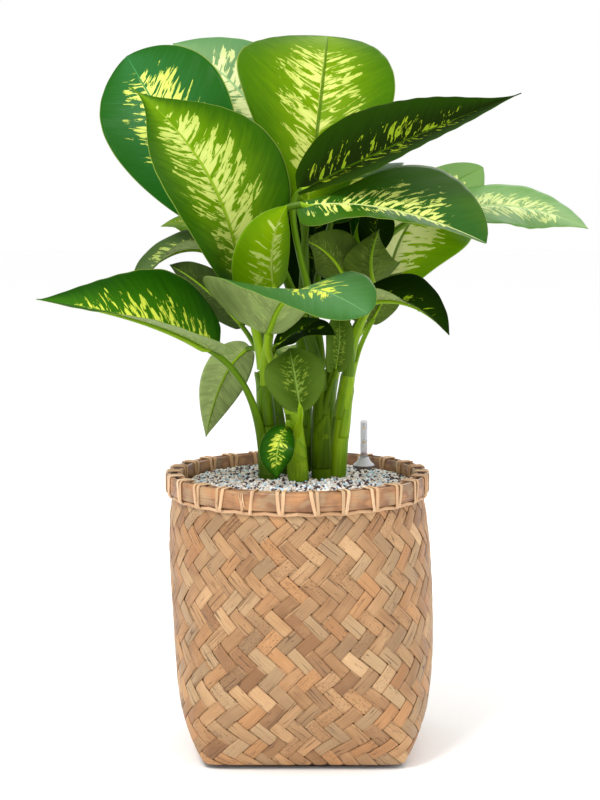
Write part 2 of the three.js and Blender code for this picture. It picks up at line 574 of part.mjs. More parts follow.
const stalks = [];
for (const leaf of LEAVES) {
  const rib = midrib(leaf);
  const stalk = stalkCurve(leaf, rib);
  const detail = leaf.width >= 130 ? [6, 6] : [4, 5];
  let solid = stem(stalk, stalkRadius, ...detail);
  for (const name of Object.keys(CANES)) solid = solid.subtract(caneSolids[name].grown);
  for (const other of stalks) solid = solid.subtract(other);
  stalks.push(stem(stalk, stalkRadius, ...detail, GAP));
  solid = solid.add(bladeSolid(leaf, rib));
  addMesh(leaf.name, geometryFrom(solid), TONES[leaf.tone]);
}
for (const [name, { plain }] of Object.entries(caneSolids)) addMesh(name, geometryFrom(plain), CANE_GREEN);

const gaugeSeat = SOIL.edge + 4.6;
const gaugeHole = solidOf(turned([[0, 40], [GAUGE.radius + GAP, 40], [GAUGE.radius + GAP, 360], [0, 360]], 16, GAUGE.x, GAUGE.y));
addMesh("foot_plate", footPlate(), DARK_WOOD);
addMesh("basket", basketWall(), BAMBOO);
addMesh("rim_hoop_outer", hoop(154.2, RIM.outer, RIM.top - RIM.height, RIM.top, 1.6), HOOP);
addMesh("rim_hoop_inner", hoop(RIM.inner - RIM.thick, RIM.inner, RIM.top - RIM.height, RIM.top, 0), HOOP);
addMesh("rim_lashing", lashing(), RATTAN);
addMesh("liner_pot", liner(), LINER_BLACK);
addMesh("granules", soil([gaugeHole, ...Object.values(caneSolids).map((c) => c.grown)]), GRANULES);
addMesh("gauge_tube", gaugeTube(), CLEAR);
addMesh("gauge_collar", gaugeCollar(gaugeSeat), CAP_GREY);
addMesh("gauge_float", gaugeFloat(gaugeSeat), FLOAT_RED);

export default plant;
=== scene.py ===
"""Looks of the potted dieffenbachia: leaves, canes, granules, woven basket and water gauge.

The tables are in millimetres and degrees, in the CAD model's frame. Meshes are in metres.
"""
import math
from dataclasses import dataclass

import bpy
import numpy as np
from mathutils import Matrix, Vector


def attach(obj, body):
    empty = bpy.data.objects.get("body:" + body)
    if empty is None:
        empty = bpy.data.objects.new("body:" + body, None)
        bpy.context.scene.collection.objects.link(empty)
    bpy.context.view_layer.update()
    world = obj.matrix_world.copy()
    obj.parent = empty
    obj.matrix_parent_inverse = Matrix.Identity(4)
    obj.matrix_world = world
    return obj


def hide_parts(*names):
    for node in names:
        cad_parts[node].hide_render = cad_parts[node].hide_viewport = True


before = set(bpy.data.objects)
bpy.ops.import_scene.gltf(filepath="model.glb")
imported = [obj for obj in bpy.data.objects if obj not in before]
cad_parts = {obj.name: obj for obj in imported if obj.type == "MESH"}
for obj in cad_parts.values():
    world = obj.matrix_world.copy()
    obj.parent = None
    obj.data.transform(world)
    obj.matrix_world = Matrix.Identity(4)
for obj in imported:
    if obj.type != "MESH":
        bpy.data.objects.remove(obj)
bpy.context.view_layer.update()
MM = 0.001
rng = np.random.default_rng(31)

# The camera stands where the photograph was taken from, in metres
CAMERA_AT = (-0.005, -3, 0.839)
CAMERA_LOOKS_AT = (-0.005, 0, 0.4277)
LENS_MM = 112

# The basket leans: its rim is centred here in X, its foot at 0, and the wall turns above this height
AXIS_TOP = -8
AXIS_TURN = 100
RIM_TOP = 340
RIM_HEIGHT = 22
HOOP_OUT = (154.2, 159.4)
HOOP_IN = (142.4, 147.4)
LINER_X = -5
SOIL_RADIUS = 135.7
SOIL_EDGE = 327
SOIL_CROWN = 334
SOIL_BUMP = 1.4
ROOT_DEPTH = 95
GAUGE_XY = (75, 82)
GAUGE_SEAT = 331.6

# Height, half width and squareness of the basket: 2 is round, and more is closer to a square
BASKET_PROFILE = np.array([
    (5.4, 122, 16), (12, 126.5, 12), (24, 133.5, 8), (42, 143, 5), (62, 151, 3.6), (90, 156, 2.8),
    (130, 159, 2.35), (200, 160.5, 2.05), (250, 160, 2), (290, 157, 2), (312, 153.6, 2), (338, 153.4, 2),
])

# Foot, head and radius of each cane
CANES = {
    "a": ((-41, -12, 332), (-50, -20, 468), 13),
    "b": ((-5, -28, 334), (-16, -38, 440), 12),
    "c": ((21, -16, 334), (20, -18, 470), 12),
    "d": ((36, 6, 332), (56, 0, 478), 12),
    "e": ((24, 34, 334), (34, 34, 480), 10),
    "f": ((-24, 26, 333), (-46, 32, 480), 11),
    "g": ((0, 40, 332), (0, 62, 490), 11),
}


def unit(v):
    return v / np.linalg.norm(v, axis=-1, keepdims=True)


def smooth(x, a, b):
    f = np.clip((np.asarray(x, float) - a) / (b - a), 0, 1)
    return f * f * (3 - 2 * f)


def mix(a, b, f):
    return a + (b - a) * f


# Meshes and pieces

def grid_faces(rows, columns, first=0, flip=False, wrap=False):
    """Quads over a grid of points stored row by row."""
    i, j = np.meshgrid(np.arange(rows - 1), np.arange(columns if wrap else columns - 1), indexing="ij")
    k = (j + 1) % columns
    quads = np.stack([i * columns + j, i * columns + k, (i + 1) * columns + k, (i + 1) * columns + j], -1)
    quads = quads.reshape(-1, 4) + first
    return quads[:, ::-1] if flip else quads


def pairs(a, b):
    """Texture coordinates from two arrays that fit each other."""
    return np.stack(np.broadcast_arrays(a, b), -1)


def distances(points):
    """Distance along a line of points at each of them."""
    return np.concatenate([[0], np.cumsum(np.linalg.norm(np.diff(points, axis=0), axis=1))])


def around_axis(r, a, z, x=0, y=0):
    """Points at a radius, angle and height about an upright axis."""
    return np.stack([x + r * np.cos(a), y + r * np.sin(a), z + 0 * a], -1)


def sheet_faces(rows, columns):
    """Faces of a thin sheet: its upper side, its under side, and the edge between them."""
    count = rows * columns
    ring = np.concatenate([
        np.arange(columns), np.arange(1, rows) * columns + columns - 1,
        (rows - 1) * columns + np.arange(columns - 2, -1, -1), np.arange(rows - 2, 0, -1) * columns,
    ])
    after = np.roll(ring, -1)
    edge = np.stack([ring, ring + count, after + count, after], -1)
    return grid_faces(rows, columns), grid_faces(rows, columns, count, flip=True), edge


class Parts:
    """Gathers points, faces, texture coordinates and slots of one piece."""

    def __init__(self):
        self.points, self.faces, self.slots, self.uvs, self.count = [], [], [], {}, 0

    def add(self, points, faces, slot=0, **uvs):
        """Adds points with their faces; slot is one material, or one for each group of faces."""
        points = np.asarray(points, float).reshape(-1, 3)
        for f, s in zip(faces, np.broadcast_to(slot, len(faces))):
            self.faces.append(np.asarray(f) + self.count)
            self.slots.append(np.full(len(f), s))
        self.points.append(points)
        for layer, values in uvs.items():
            self.uvs.setdefault(layer, []).append(np.asarray(values, float).reshape(-1, 2))
        self.count += len(points)

    def build(self, name, materials, smooth_faces=True):
        """A mesh object of all that was gathered, in metres."""
        groups = [[(f, s) for f, s in zip(self.faces, self.slots) if f.shape[1] == n] for n in (4, 3)]
        loops = np.concatenate([f.reshape(-1) for group in groups for f, _ in group]).astype(np.int32)
        sizes = np.concatenate([np.full(len(f), f.shape[1], np.int32) for group in groups for f, _ in group])
        slots = np.concatenate([s for group in groups for _, s in group]).astype(np.int32)
        points = np.concatenate(self.points) * MM
        mesh = bpy.data.meshes.new(name)
        mesh.vertices.add(len(points))
        mesh.vertices.foreach_set("co", points.astype(np.float32).reshape(-1))
        mesh.loops.add(len(loops))
        mesh.loops.foreach_set("vertex_index", loops)
        mesh.polygons.add(len(sizes))
        mesh.polygons.foreach_set("loop_start", (np.cumsum(sizes) - sizes).astype(np.int32))
        mesh.polygons.foreach_set("material_index", slots)
        mesh.polygons.foreach_set("use_smooth", np.full(len(sizes), smooth_faces))
        for layer, values in self.uvs.items():
            uv = np.concatenate(values).astype(np.float32)
            mesh.uv_layers.new(name=layer).data.foreach_set("uv", uv[loops].reshape(-1))
        mesh.update()
        mesh.validate()
        for material in materials:
            mesh.materials.append(material)
        obj = bpy.data.objects.new(name, mesh)
        bpy.context.scene.collection.objects.link(obj)
        return obj

    def piece(self, name, materials, nodes=(), body="planter", smooth_faces=True):
        """Builds a piece that rides on a body and the CAD nodes that it replaces."""
        obj = self.build(name, materials, smooth_faces)
        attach(obj, body)
        if nodes:
            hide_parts(*nodes)


# Materials

def srgb(r, g, b):
    """A colour as a screen shows it, as Blender's linear values."""
    c = np.array([r, g, b]) / 255
    return (*np.where(c < 0.04045, c / 12.92, ((c + 0.055) / 1.055) ** 2.4), 1)


def shade(color, factor, lift=0):
    """A lighter or darker colour."""
    return tuple(min(1, c * factor + lift) for c in color[:3]) + (1,)


class Nodes:
    """Short forms for a material's nodes."""

    def __init__(self, name):
        self.material = bpy.data.materials.new(name)
        self.material.use_nodes = True
        self.tree = self.material.node_tree
        self.shader = self.tree.nodes["Principled BSDF"]
        self.output = self.tree.nodes["Material Output"]

    def put(self, socket, value):
        if isinstance(value, bpy.types.NodeSocket):
            self.tree.links.new(value, socket)
        else:
            socket.default_value = value

    def new(self, kind, inputs, **values):
        """A node with its inputs, by number or name, and its settings."""
        node = self.tree.nodes.new(kind)
        for key, value in values.items():
            setattr(node, key, value)
        for key, value in inputs.items():
            self.put(node.inputs[key], value)
        return node

    def math(self, operation, a, b=0, c=0):
        return self.new("ShaderNodeMath", {0: a, 1: b, 2: c}, operation=operation).outputs[0]

    def add(self, a, b):
        return self.math("ADD", a, b)

    def mul(self, a, b):
        return self.math("MULTIPLY", a, b)

    def uv(self, layer, x=1, y=1):
        uv = self.new("ShaderNodeUVMap", {}, uv_map=layer).outputs["UV"]
        return self.new("ShaderNodeMapping", {"Vector": uv, "Scale": (x, y, 1)}).outputs[0]

    def place(self):
        return self.new("ShaderNodeTexCoord", {}).outputs["Object"]

    def split(self, vector):
        return self.new("ShaderNodeSeparateXYZ", {0: vector}).outputs

    def noise(self, vector, scale, detail=3, rough=0.5, distortion=0):
        inputs = {"Vector": vector, "Scale": scale, "Detail": detail, "Roughness": rough,
                  "Distortion": distortion}
        return self.new("ShaderNodeTexNoise", inputs).outputs["Fac"]

    def pattern(self, layer, x, y, *rest):
        """Noise on a texture layer that is scaled by x and y."""
        return self.noise(self.uv(layer, x, y), 1, *rest)

    def ramp(self, value, *stops):
        node = self.new("ShaderNodeValToRGB", {0: value})
        elements = node.color_ramp.elements
        while len(elements) < len(stops):
            elements.new(0.5)
        for element, (position, color) in zip(elements, stops):
            element.position = position
            element.color = color
        return node.outputs[0]

    def band(self, value, low, high, to_low=0, to_high=1):
        """A soft step of value from low to high."""
        inputs = dict(enumerate((value, low, high, to_low, to_high)))
        return self.new("ShaderNodeMapRange", inputs, interpolation_type="SMOOTHSTEP").outputs[0]

    def blend(self, factor, a, b, mode="MIX"):
        node = self.new("ShaderNodeMix", {0: factor, 6: a, 7: b}, data_type="RGBA", blend_type=mode)
        return node.outputs[2]

    def bump(self, height, strength, distance, **under):
        inputs = {"Strength": strength, "Distance": distance, "Height": height, **under}
        return self.new("ShaderNodeBump", inputs).outputs[0]

    def finish(self, color, roughness=0.5, normal=None, **constants):
        """Sets the main shader; a constant is named after its socket, with _ for a space."""
        self.put(self.shader.inputs["Base Color"], color)
        self.put(self.shader.inputs["Roughness"], roughness)
        if normal is not None:
            self.put(self.shader.inputs["Normal"], normal)
        for key, value in constants.items():
            self.shader.inputs[key.replace("_", " ")].default_value = value
        return self.material

    def mix_in(self, kind, color, amount):
        """Mixes a share of a second shader into the surface."""
        second = self.new(kind, {"Color": color})
        both = self.new("ShaderNodeMixShader", {0: amount, 1: self.shader.outputs[0], 2: second.outputs[0]})
        self.put(self.output.inputs["Surface"], both.outputs[0])
        return self.material


# Millimetres between side veins, half the midrib's share of the blade, and the green that streaks lean to
VEIN_SPACING = 11
MIDRIB_REACH = 0.035
WARM_GREEN = (0.62, 0.72, 0.03, 1)


def blade_lines(n, width, outer):
    """Distance from the midrib, place along it, and lines on the side veins that fade out from outer."""
    across, along, _ = n.split(n.uv("blade"))
    side = n.math("ABSOLUTE", n.math("MULTIPLY_ADD", across, 2, -1))
    rank = n.split(n.uv("vein"))[1]
    phase = n.math("PINGPONG", n.mul(rank, 100 / VEIN_SPACING), 0.5)
    line = n.mul(n.band(phase, 0, width, 1, 0), n.band(side, outer, 1, 1, 0.2))
    return side, along, line


def leaf_upper(name, middle, margin, streak, amount, reach, shine, glow, rib=None, gloss=0.2, fine=1,
               tip=None):
    """The upper side: a midrib, side veins, and cream streaks that run out along them."""
    n = Nodes(name)
    middle, margin, streak = (srgb(*color) for color in (middle, margin, streak))
    paler = shade(middle, 1.7, 0.02)
    side, along, line = blade_lines(n, 0.09, 0.75)
    wander = n.pattern("vein", 9, 9, 2)
    broad = n.pattern("vein", 2.2 * fine, 5 * fine, 2)
    streaky = n.pattern("vein", 4.6 * fine, 16 * fine, 5, 0.58, 0.8)
    # Streaks thin out towards the margin, the base and the tip
    edge = n.math("MULTIPLY_ADD", wander, 0.3, n.math("SUBTRACT", side, 0.15))
    fade = n.band(edge, reach * 0.4, reach * 1.2, 0, 0.34)
    ends = n.add(n.band(along, 0.72, 0.98, 0, 0.3), n.band(along, 0, 0.1, 0.1, 0))
    inner = n.band(side, 0.02, 0.3, -0.035 * amount, 0)
    cut = n.add(n.add(n.add(fade, ends), inner), 0.66 - 0.3 * amount)
    over = n.math("SUBTRACT", n.add(n.mul(streaky, 0.74), n.mul(broad, 0.26)), cut)
    patch = n.band(over, -0.006, 0.014)
    cream = n.band(over, 0, 0.07)
    # Green, paler between the veins and darker along the margin
    tone = n.pattern("vein", 4, 12, 3)
    green = n.blend(n.band(n.math("MULTIPLY_ADD", tone, 0.5, side), 0.35, 1.25), middle, margin)
    green = n.blend(n.mul(line, 0.07), green, paler)
    # A painted pale sheen of light over the tip half, in the colour given as tip
    if tip:
        green = n.blend(n.band(along, 0.5, 0.7, 0, 0.9), green, srgb(*tip))
    warm = n.blend(0.45, middle, WARM_GREEN)
    body = n.blend(n.band(side, 0.12, 0.5), streak, n.blend(0.42, streak, warm))
    color = n.blend(patch, green, n.blend(cream, n.blend(0.5, warm, streak), body))
    # The midrib narrows to the tip, and a thin pale rim of painted highlight follows the margin
    narrow = n.mul(side, n.band(along, 0, 0.9, 0.62, 1.7))
    on_rib = n.band(narrow, MIDRIB_REACH * 0.5, MIDRIB_REACH, 0.9, 0)
    color = n.blend(on_rib, color, srgb(*rib) if rib else paler)
    # Painted highlight along the margin
    color = n.blend(n.mul(n.band(side, 0.982, 0.995), 0.55), color, n.blend(0.5, middle, streak))
    ridge = n.bump(n.mul(line, -1), 0.12, 0.0008)
    normal = n.bump(n.noise(n.place(), 900, 2), 0.06, 0.0004, Normal=ridge)
    roughness = n.band(tone, 0.2, 0.8, shine - 0.04, shine + 0.08)
    n.finish(color, roughness, normal, IOR=1.27, Specular_IOR_Level=gloss)
    return n.mix_in("ShaderNodeBsdfTranslucent", n.blend(0.35, color, streak, "MULTIPLY"), glow)


def leaf_under(name, base, streak, glow=0.25):
    """The underside: paler and matt, with the veins standing out."""
    n = Nodes(name)
    base, streak = srgb(*base), srgb(*streak)
    side, _, line = blade_lines(n, 0.11, 0.7)
    streaky = n.pattern("vein", 9, 42, 4, 0.62, 0.35)
    mask = n.band(n.math("SUBTRACT", streaky, n.band(side, 0.3, 0.95, 0.55, 0.85)), -0.02, 0.04)
    tone = n.pattern("vein", 3, 8, 3)
    color = n.blend(n.band(tone, 0.3, 0.7), shade(base, 0.72), base)
    color = n.blend(n.mul(mask, 0.6), color, streak)
    color = n.blend(n.mul(line, 0.3), color, shade(base, 1.35))
    rib = n.band(side, MIDRIB_REACH * 0.6, MIDRIB_REACH * 1.2, 0.8, 0)
    color = n.blend(rib, color, shade(base, 1.25))
    n.finish(color, 0.5, n.bump(line, 0.5, 0.0012), Specular_IOR_Level=0.12)
    return n.mix_in("ShaderNodeBsdfTranslucent", color, glow)


def stem_material(name, light, dark, shine=0.35, gloss=0.18):
    """Smooth green stem with soft fibres along it, darker down by the granules."""
    n = Nodes(name)
    light, dark = srgb(*light), srgb(*dark)
    fibre = n.pattern("stem", 34, 0.9, 3, 0.55)
    mottle = n.pattern("stem", 5, 0.7, 2)
    factor = n.add(n.mul(fibre, 0.45), n.mul(mottle, 0.6))
    color = n.blend(n.band(factor, 0.36, 0.7), dark, light)
    height = n.split(n.place())[2]
    foot = n.band(n.math("MULTIPLY_ADD", mottle, 0.03, height), 0.34, 0.40, 0.6, 0)
    color = n.blend(foot, color, shade(dark, 0.55))
    dot = n.band(n.pattern("stem", 90, 40, 1), 0.7, 0.76, 0, 0.3)
    color = n.blend(dot, color, shade(light, 1.3))
    return n.finish(color, n.band(mottle, 0.3, 0.7, shine, shine + 0.12), n.bump(fibre, 0.2, 0.0006),
                    Specular_IOR_Level=gloss, Subsurface_Weight=0.08, Subsurface_Radius=(0.002, 0.004, 0.001))


# The upper side's looks: colours of the middle, the margin and the streaks, how much is streaked, how far out
# the streaks reach, roughness, and how much light comes through. Then, where they aren't the usual ones,
# the midrib's colour, the gloss, the fineness of the streaks, and a painted pale sheen over the tip half.
UPPER_LOOKS = {
    "lime": ((120, 160, 0), (72, 120, 0), (232, 240, 132), 0.5, 0.84, 0.42, 0.3, (84, 124, 0)),
    # cream's last colour is the painted sheen on the tip half
    "cream": ((146, 186, 0), (104, 152, 0), (244, 248, 176), 0.74, 0.84, 0.44, 0.3, (90, 132, 0), 0.2, 1,
              (132, 172, 104)),
    "lit": ((108, 152, 0), (50, 98, 0), (222, 234, 128), 0.55, 0.88, 0.4, 0.28, (142, 182, 20)),
    "deep": ((54, 110, 12), (24, 72, 0), (222, 234, 86), 0.52, 0.84, 0.34, 0.14),
    # The dark and shade looks are painted shade: upper sides of leaves deep in the canopy, darkened
    "dark": ((18, 34, 0), (28, 56, 0), (112, 142, 24), 0.35, 0.95, 0.42, 0.08, (46, 76, 0), 0.05),
    "shade": ((20, 42, 0), (14, 34, 0), (110, 150, 20), 0.24, 0.7, 0.46, 0.06, None, 0.04),
    # The upper looks sea, tide, haze, fog and pale are partly the leaves' own green and partly painted
    # reflection of the sky, in their bluish and greyish tints
    "sea": ((44, 108, 48), (30, 92, 18), (236, 244, 120), 0.58, 0.86, 0.34, 0.14),
    "bay": ((40, 92, 18), (58, 100, 8), (226, 236, 130), 0.5, 0.9, 0.34, 0.14, (214, 228, 140)),
    "tide": ((78, 128, 72), (58, 108, 44), (224, 234, 90), 0.44, 0.86, 0.34, 0.12),
    "haze": ((138, 176, 108), (114, 160, 88), (228, 240, 166), 0.56, 0.94, 0.4, 0.2),
    "fog": ((80, 104, 56), (64, 88, 40), (186, 202, 120), 0.5, 0.94, 0.44, 0.12),
    "pale": ((122, 162, 108), (98, 146, 92), (244, 248, 190), 0.6, 0.98, 0.42, 0.22),
    "young": ((142, 182, 0), (108, 154, 0), (222, 234, 140), 0.42, 0.9, 0.44, 0.3, (196, 214, 100)),
    "olive": ((58, 90, 12), (46, 74, 6), (146, 172, 74), 0.3, 0.8, 0.42, 0.12),
    # mist is painted shade over its middle, with painted light on its paler margin
    "mist": ((60, 88, 14), (84, 112, 34), (116, 146, 60), 0.4, 0.8, 0.46, 0.1, (128, 160, 70), 0.1, 2.4),
}
# The underside's looks: colours of the blade and the streaks, and the light let through if it isn't the usual
UNDER_LOOKS = {
    "lime": ((150, 180, 40), (205, 218, 110), 0.4),
    "deep": ((144, 172, 88), (200, 216, 134)),
    "pale": ((184, 208, 126), (222, 234, 146), 0.4),
    "olive": ((92, 118, 34), (140, 164, 70)),
    # The shade underside is painted shade, for undersides deep in the leaves
    "shade": ((58, 80, 22), (96, 120, 48)),
}
STALK_LOOKS = {
    "light": ((144, 178, 16), (98, 138, 0)),
    "green": ((98, 136, 0), (60, 92, 0)),
    # The dark stalk look is the stalk green with painted shade, for stalks and a cane deep in the leaves
    "dark": ((88, 116, 4), (52, 78, 0), 0.45, 0.06),
}
UPPER = {look: leaf_upper("leaf_" + look, *row) for look, row in UPPER_LOOKS.items()}
UNDER = {look: leaf_under(f"leaf_{look}_under", *row) for look, row in UNDER_LOOKS.items()}
STALKS = {look: stem_material("stalk_" + look, *row) for look, row in STALK_LOOKS.items()}


@dataclass
class Leaf:
    """One leaf: its midrib's three points, its shape and its looks. Pairs are the left and right half."""
    name: str
    cane: str
    leave: float  # how far up the cane the leaf stalk parts from it
    base: tuple
    mid: tuple
    tip: tuple
    face: tuple  # the way the upper side looks
    width: float
    look: str  # of the upper side, the underside and the stalk
    fold: tuple = (10, 10)  # rise of each half from the midrib, in degrees
    curl: tuple = (0, 0)  # how much more it bends on its way to the margin
    neck: float = 0.5  # small is full at the base
    point: float = 1.1  # small is blunt at the tip
    pull: float = 0.4  # how far the stalk follows the cane
    reach: float = 0.35  # how far it follows the midrib
    ease: tuple = (0.55, 0.55)  # share of fold and curl that is left at the tip
    relax: float = 1  # how soon they get there
    left: tuple = (1, 1)  # share of the width at the base and towards the tip
    right: tuple = (1, 1)
    twist: float = 0  # turn about the midrib at the base, in degrees
    lobe: float = 6  # how far the blade's lower corners hang behind the base
    swell: float = 2.2  # more keeps the blade full for longer
    seed: float = 0


LEAVES = [
    Leaf("leaf_01", "f", 0.9, (-102, 20, 640), (-166, 40, 757), (-219, 104, 842), (-0.2, -1, 0.25), 178,
         "sea deep green", (8, 14), (14, -10), neck=0.62, point=0.75, left=(0.85, 0.82)),
    Leaf("leaf_02", "a", 1, (-77, -40, 587), (-119, -54, 712), (-207, -20, 806), (0.45, -0.9, 0.2), 192,
         "lit lime light", (34, 12), (10, -12), neck=0.34, point=2.6, swell=4),
    Leaf("leaf_03", "g", 0.85, (-10, 80, 672), (-73, 120, 791), (-166, 190, 858), (0.2, -1, 0.4), 146,
         "pale pale green", (12, 12)),
    Leaf("leaf_04", "g", 1, (5, 40, 664), (22, 66, 800), (30, 172, 867), (0, -1, 0.1), 192, "lime lime green",
         (8, 10), (-6, -6), neck=0.55, point=0.72, left=(0.82, 1.2), right=(0.95, 0.92)),
    Leaf("leaf_05", "c", 1, (-2, -28, 684), (118, -42, 742), (255, -56, 799), (-0.4, -0.5, 0.85), 164,
         "dark deep green", (16, 24), neck=0.5, point=1.8, reach=0.18),
    Leaf("leaf_06", "c", 0.85, (-4, -100, 671), (98, -110, 666), (211, -118, 627), (0, -0.25, 1), 142,
         "bay pale green", (12, -60), neck=0.36, point=0.58, ease=(1.3, -0.08), relax=4, left=(0.2, 1.8),
         right=(0.7, 0.34)),
    Leaf("leaf_07", "e", 1, (167, 60, 655), (264, 84, 657), (349, 60, 632), (0.1, -0.3, 1), 116,
         "haze pale green", (8, -6)),
    Leaf("leaf_08", "e", 0.85, (104, 84, 555), (138, 94, 646), (226, 150, 703), (0, -1, 0.1), 158,
         "cream lime light", point=0.7, left=(1, 0.42), right=(0.85, 0.95)),
    Leaf("leaf_09", "a", 0.32, (-112, -75, 498), (-194, -112, 538), (-309, -140, 564), (0.2, -0.3, 0.96), 160,
         "deep deep green", (30, 38), neck=0.36, point=1.4, lobe=14),
    Leaf("leaf_10", "f", 0.7, (-92, 36, 592), (-150, 38, 607), (-210, 20, 562), (0, -0.3, 0.95), 66,
         "fog pale green", (46, 26), neck=0.6, point=0.9),
    Leaf("leaf_11", "f", 0.8, (-84, 86, 589), (-132, 100, 633), (-180, 130, 630), (0.2, -0.6, 0.8), 58,
         "young lime green"),
    Leaf("leaf_12", "a", 0.9, (-36, -80, 572), (-36, -104, 627), (-20, -114, 671), (0.1, -1, 0.2), 98,
         "young lime light", (12, -42), neck=0.14, ease=(0.8, 0.9), right=(0.6, 0.6)),
    Leaf("leaf_13", "b", 0.85, (-43, -80, 518), (-5, -130, 574), (72, -190, 552), (0, 0, 1), 156,
         "tide pale light", (10, 30), point=0.55, ease=(2.2, -0.75), left=(0.9, 0.87), right=(1.75, 1),
         twist=14, lobe=2),
    Leaf("leaf_14", "d", 0.9, (66, -58, 552), (122, -82, 554), (170, -100, 518), (0, -0.26, 0.97), 86,
         "shade pale green", (30, 42), pull=0.55),
    Leaf("leaf_15", "d", 1, (84, -20, 572), (80, -30, 603), (90, -12, 636), (0, 1, 0.2), 80,
         "shade olive light", (30, 40), neck=0.25, point=1.5, pull=0.6),
    Leaf("leaf_16", "c", 0.75, (50, 2, 576), (30, -2, 605), (2, 10, 621), (0, 1, 0.4), 72, "shade olive dark",
         (20, 30), neck=0.35),
    Leaf("leaf_17", "b", 0.6, (-5, -92, 432), (-12, -104, 477), (-18, -80, 500), (0, -1, 0.1), 72,
         "mist olive light", (8, 8), pull=0.3),
    Leaf("leaf_18", "b", 0.75, (-31, -56, 502), (1, -67, 521), (37, -80, 516), (0, -0.5, 0.9), 50,
         "shade olive dark"),
    Leaf("leaf_19", "c", 0.65, (38, -44, 472), (42, -54, 504), (42, -40, 538), (0.3, -1, 0.2), 36,
         "mist olive dark", neck=0.25, point=0.5),
    Leaf("leaf_20", "b", 0.5, (-23, -62, 400), (-33, -80, 376), (-32, -78, 345), (0, -1, 0.3), 42,
         "deep olive dark", pull=0.3),
    Leaf("leaf_21", "f", 0.6, (-70, 30, 486), (-100, 50, 446), (-122, 60, 373), (0.2, 1, 0.3), 56,
         "olive pale green"),
    Leaf("leaf_22", "d", 0.8, (84, 24, 524), (100, 30, 552), (120, 40, 580), (0, 1, 0.5), 44,
         "olive olive light"),
    Leaf("leaf_23", "f", 0.65, (-78, 10, 520), (-120, 12, 563), (-164, 30, 590), (0, 1, 0.5), 56,
         "olive shade green"),
    Leaf("leaf_24", "e", 0.9, (85, 24, 608), (88, 14, 640), (95, 30, 665), (0, -1, 0.2), 45,
         "shade olive green"),
    Leaf("leaf_25", "g", 0.8, (34, 100, 640), (60, 180, 700), (84, 275, 690), (0, -0.4, 1), 140,
         "deep deep green", (12, 12)),
    Leaf("leaf_26", "f", 1, (-50, 124, 590), (-100, 200, 650), (-140, 284, 628), (0, -0.3, 1), 120,
         "sea deep green", (12, 12)),
    Leaf("leaf_27", "e", 0.75, (80, 120, 610), (140, 190, 670), (196, 270, 650), (-0.1, -0.3, 1), 126,
         "deep deep green", (12, 12)),
    Leaf("leaf_28", "g", 0.7, (10, 110, 540), (14, 150, 620), (10, 180, 690), (0, -1, 0.4), 100,
         "shade deep green", (12, 12)),
    Leaf("leaf_29", "f", 0.75, (-60, 80, 520), (-112, 140, 556), (-166, 196, 516), (0.1, -0.2, 1), 100,
         "sea deep green", (12, 12)),
    Leaf("leaf_30", "e", 0.65, (70, 110, 516), (112, 172, 550), (150, 236, 512), (-0.1, -0.2, 1), 96,
         "deep deep green", (12, 12)),
    Leaf("leaf_31", "g", 0.6, (-15, 110, 462), (-20, 165, 474), (-22, 215, 430), (0, 0.1, 1), 70,
         "young lime light", (12, 12)),
]

# Millimetres: the blade, its waves, puckers, midrib groove and wavy margin, then the midrib and the stalk
BLADE_THICK = 0.9
RIPPLE = 3
PUCKER = 0.24
CHANNEL = 1.2
FRILL = 0.5
FRILL_PITCH = 34
RIB_TOP = 4
STALK_FOOT = 6.4


def bezier(points, u):
    """The point and unit tangent at each u of a Bezier curve."""
    u = np.asarray(u, float)[..., None]
    level = [np.asarray(p, float) for p in points]
    while len(level) > 2:
        level = [mix(a, b, u) for a, b in zip(level, level[1:])]
    at = mix(level[0], level[1], u)
    return at, unit(np.broadcast_to(level[1] - level[0], at.shape))


def midrib_points(row):
    a, b, c = (np.array(p, float) for p in (row.base, row.mid, row.tip))
    return [a, 2 * b - (a + c) / 2, c]


def half_width(s, neck, point, swell):
    """Half the blade's width along it, as a share of its greatest."""
    widest = (neck / (neck + point * swell)) ** (1 / swell)

    def shape(x):
        return (x + 0.015) ** neck * (1 - x ** swell) ** point

    share = np.maximum(0.012, shape(s) / shape(widest))
    return share * np.sqrt(np.clip((s + 0.0006) / 0.014, 0, 1))


def vein_rank(row, s, across):
    """Distance along the midrib at which a side vein through this point leaves it."""
    rib_length = 1.06 * np.linalg.norm(np.subtract(row.tip, row.base))
    return s * rib_length - 0.55 * across - 0.0022 * across ** 2 + row.seed * 100


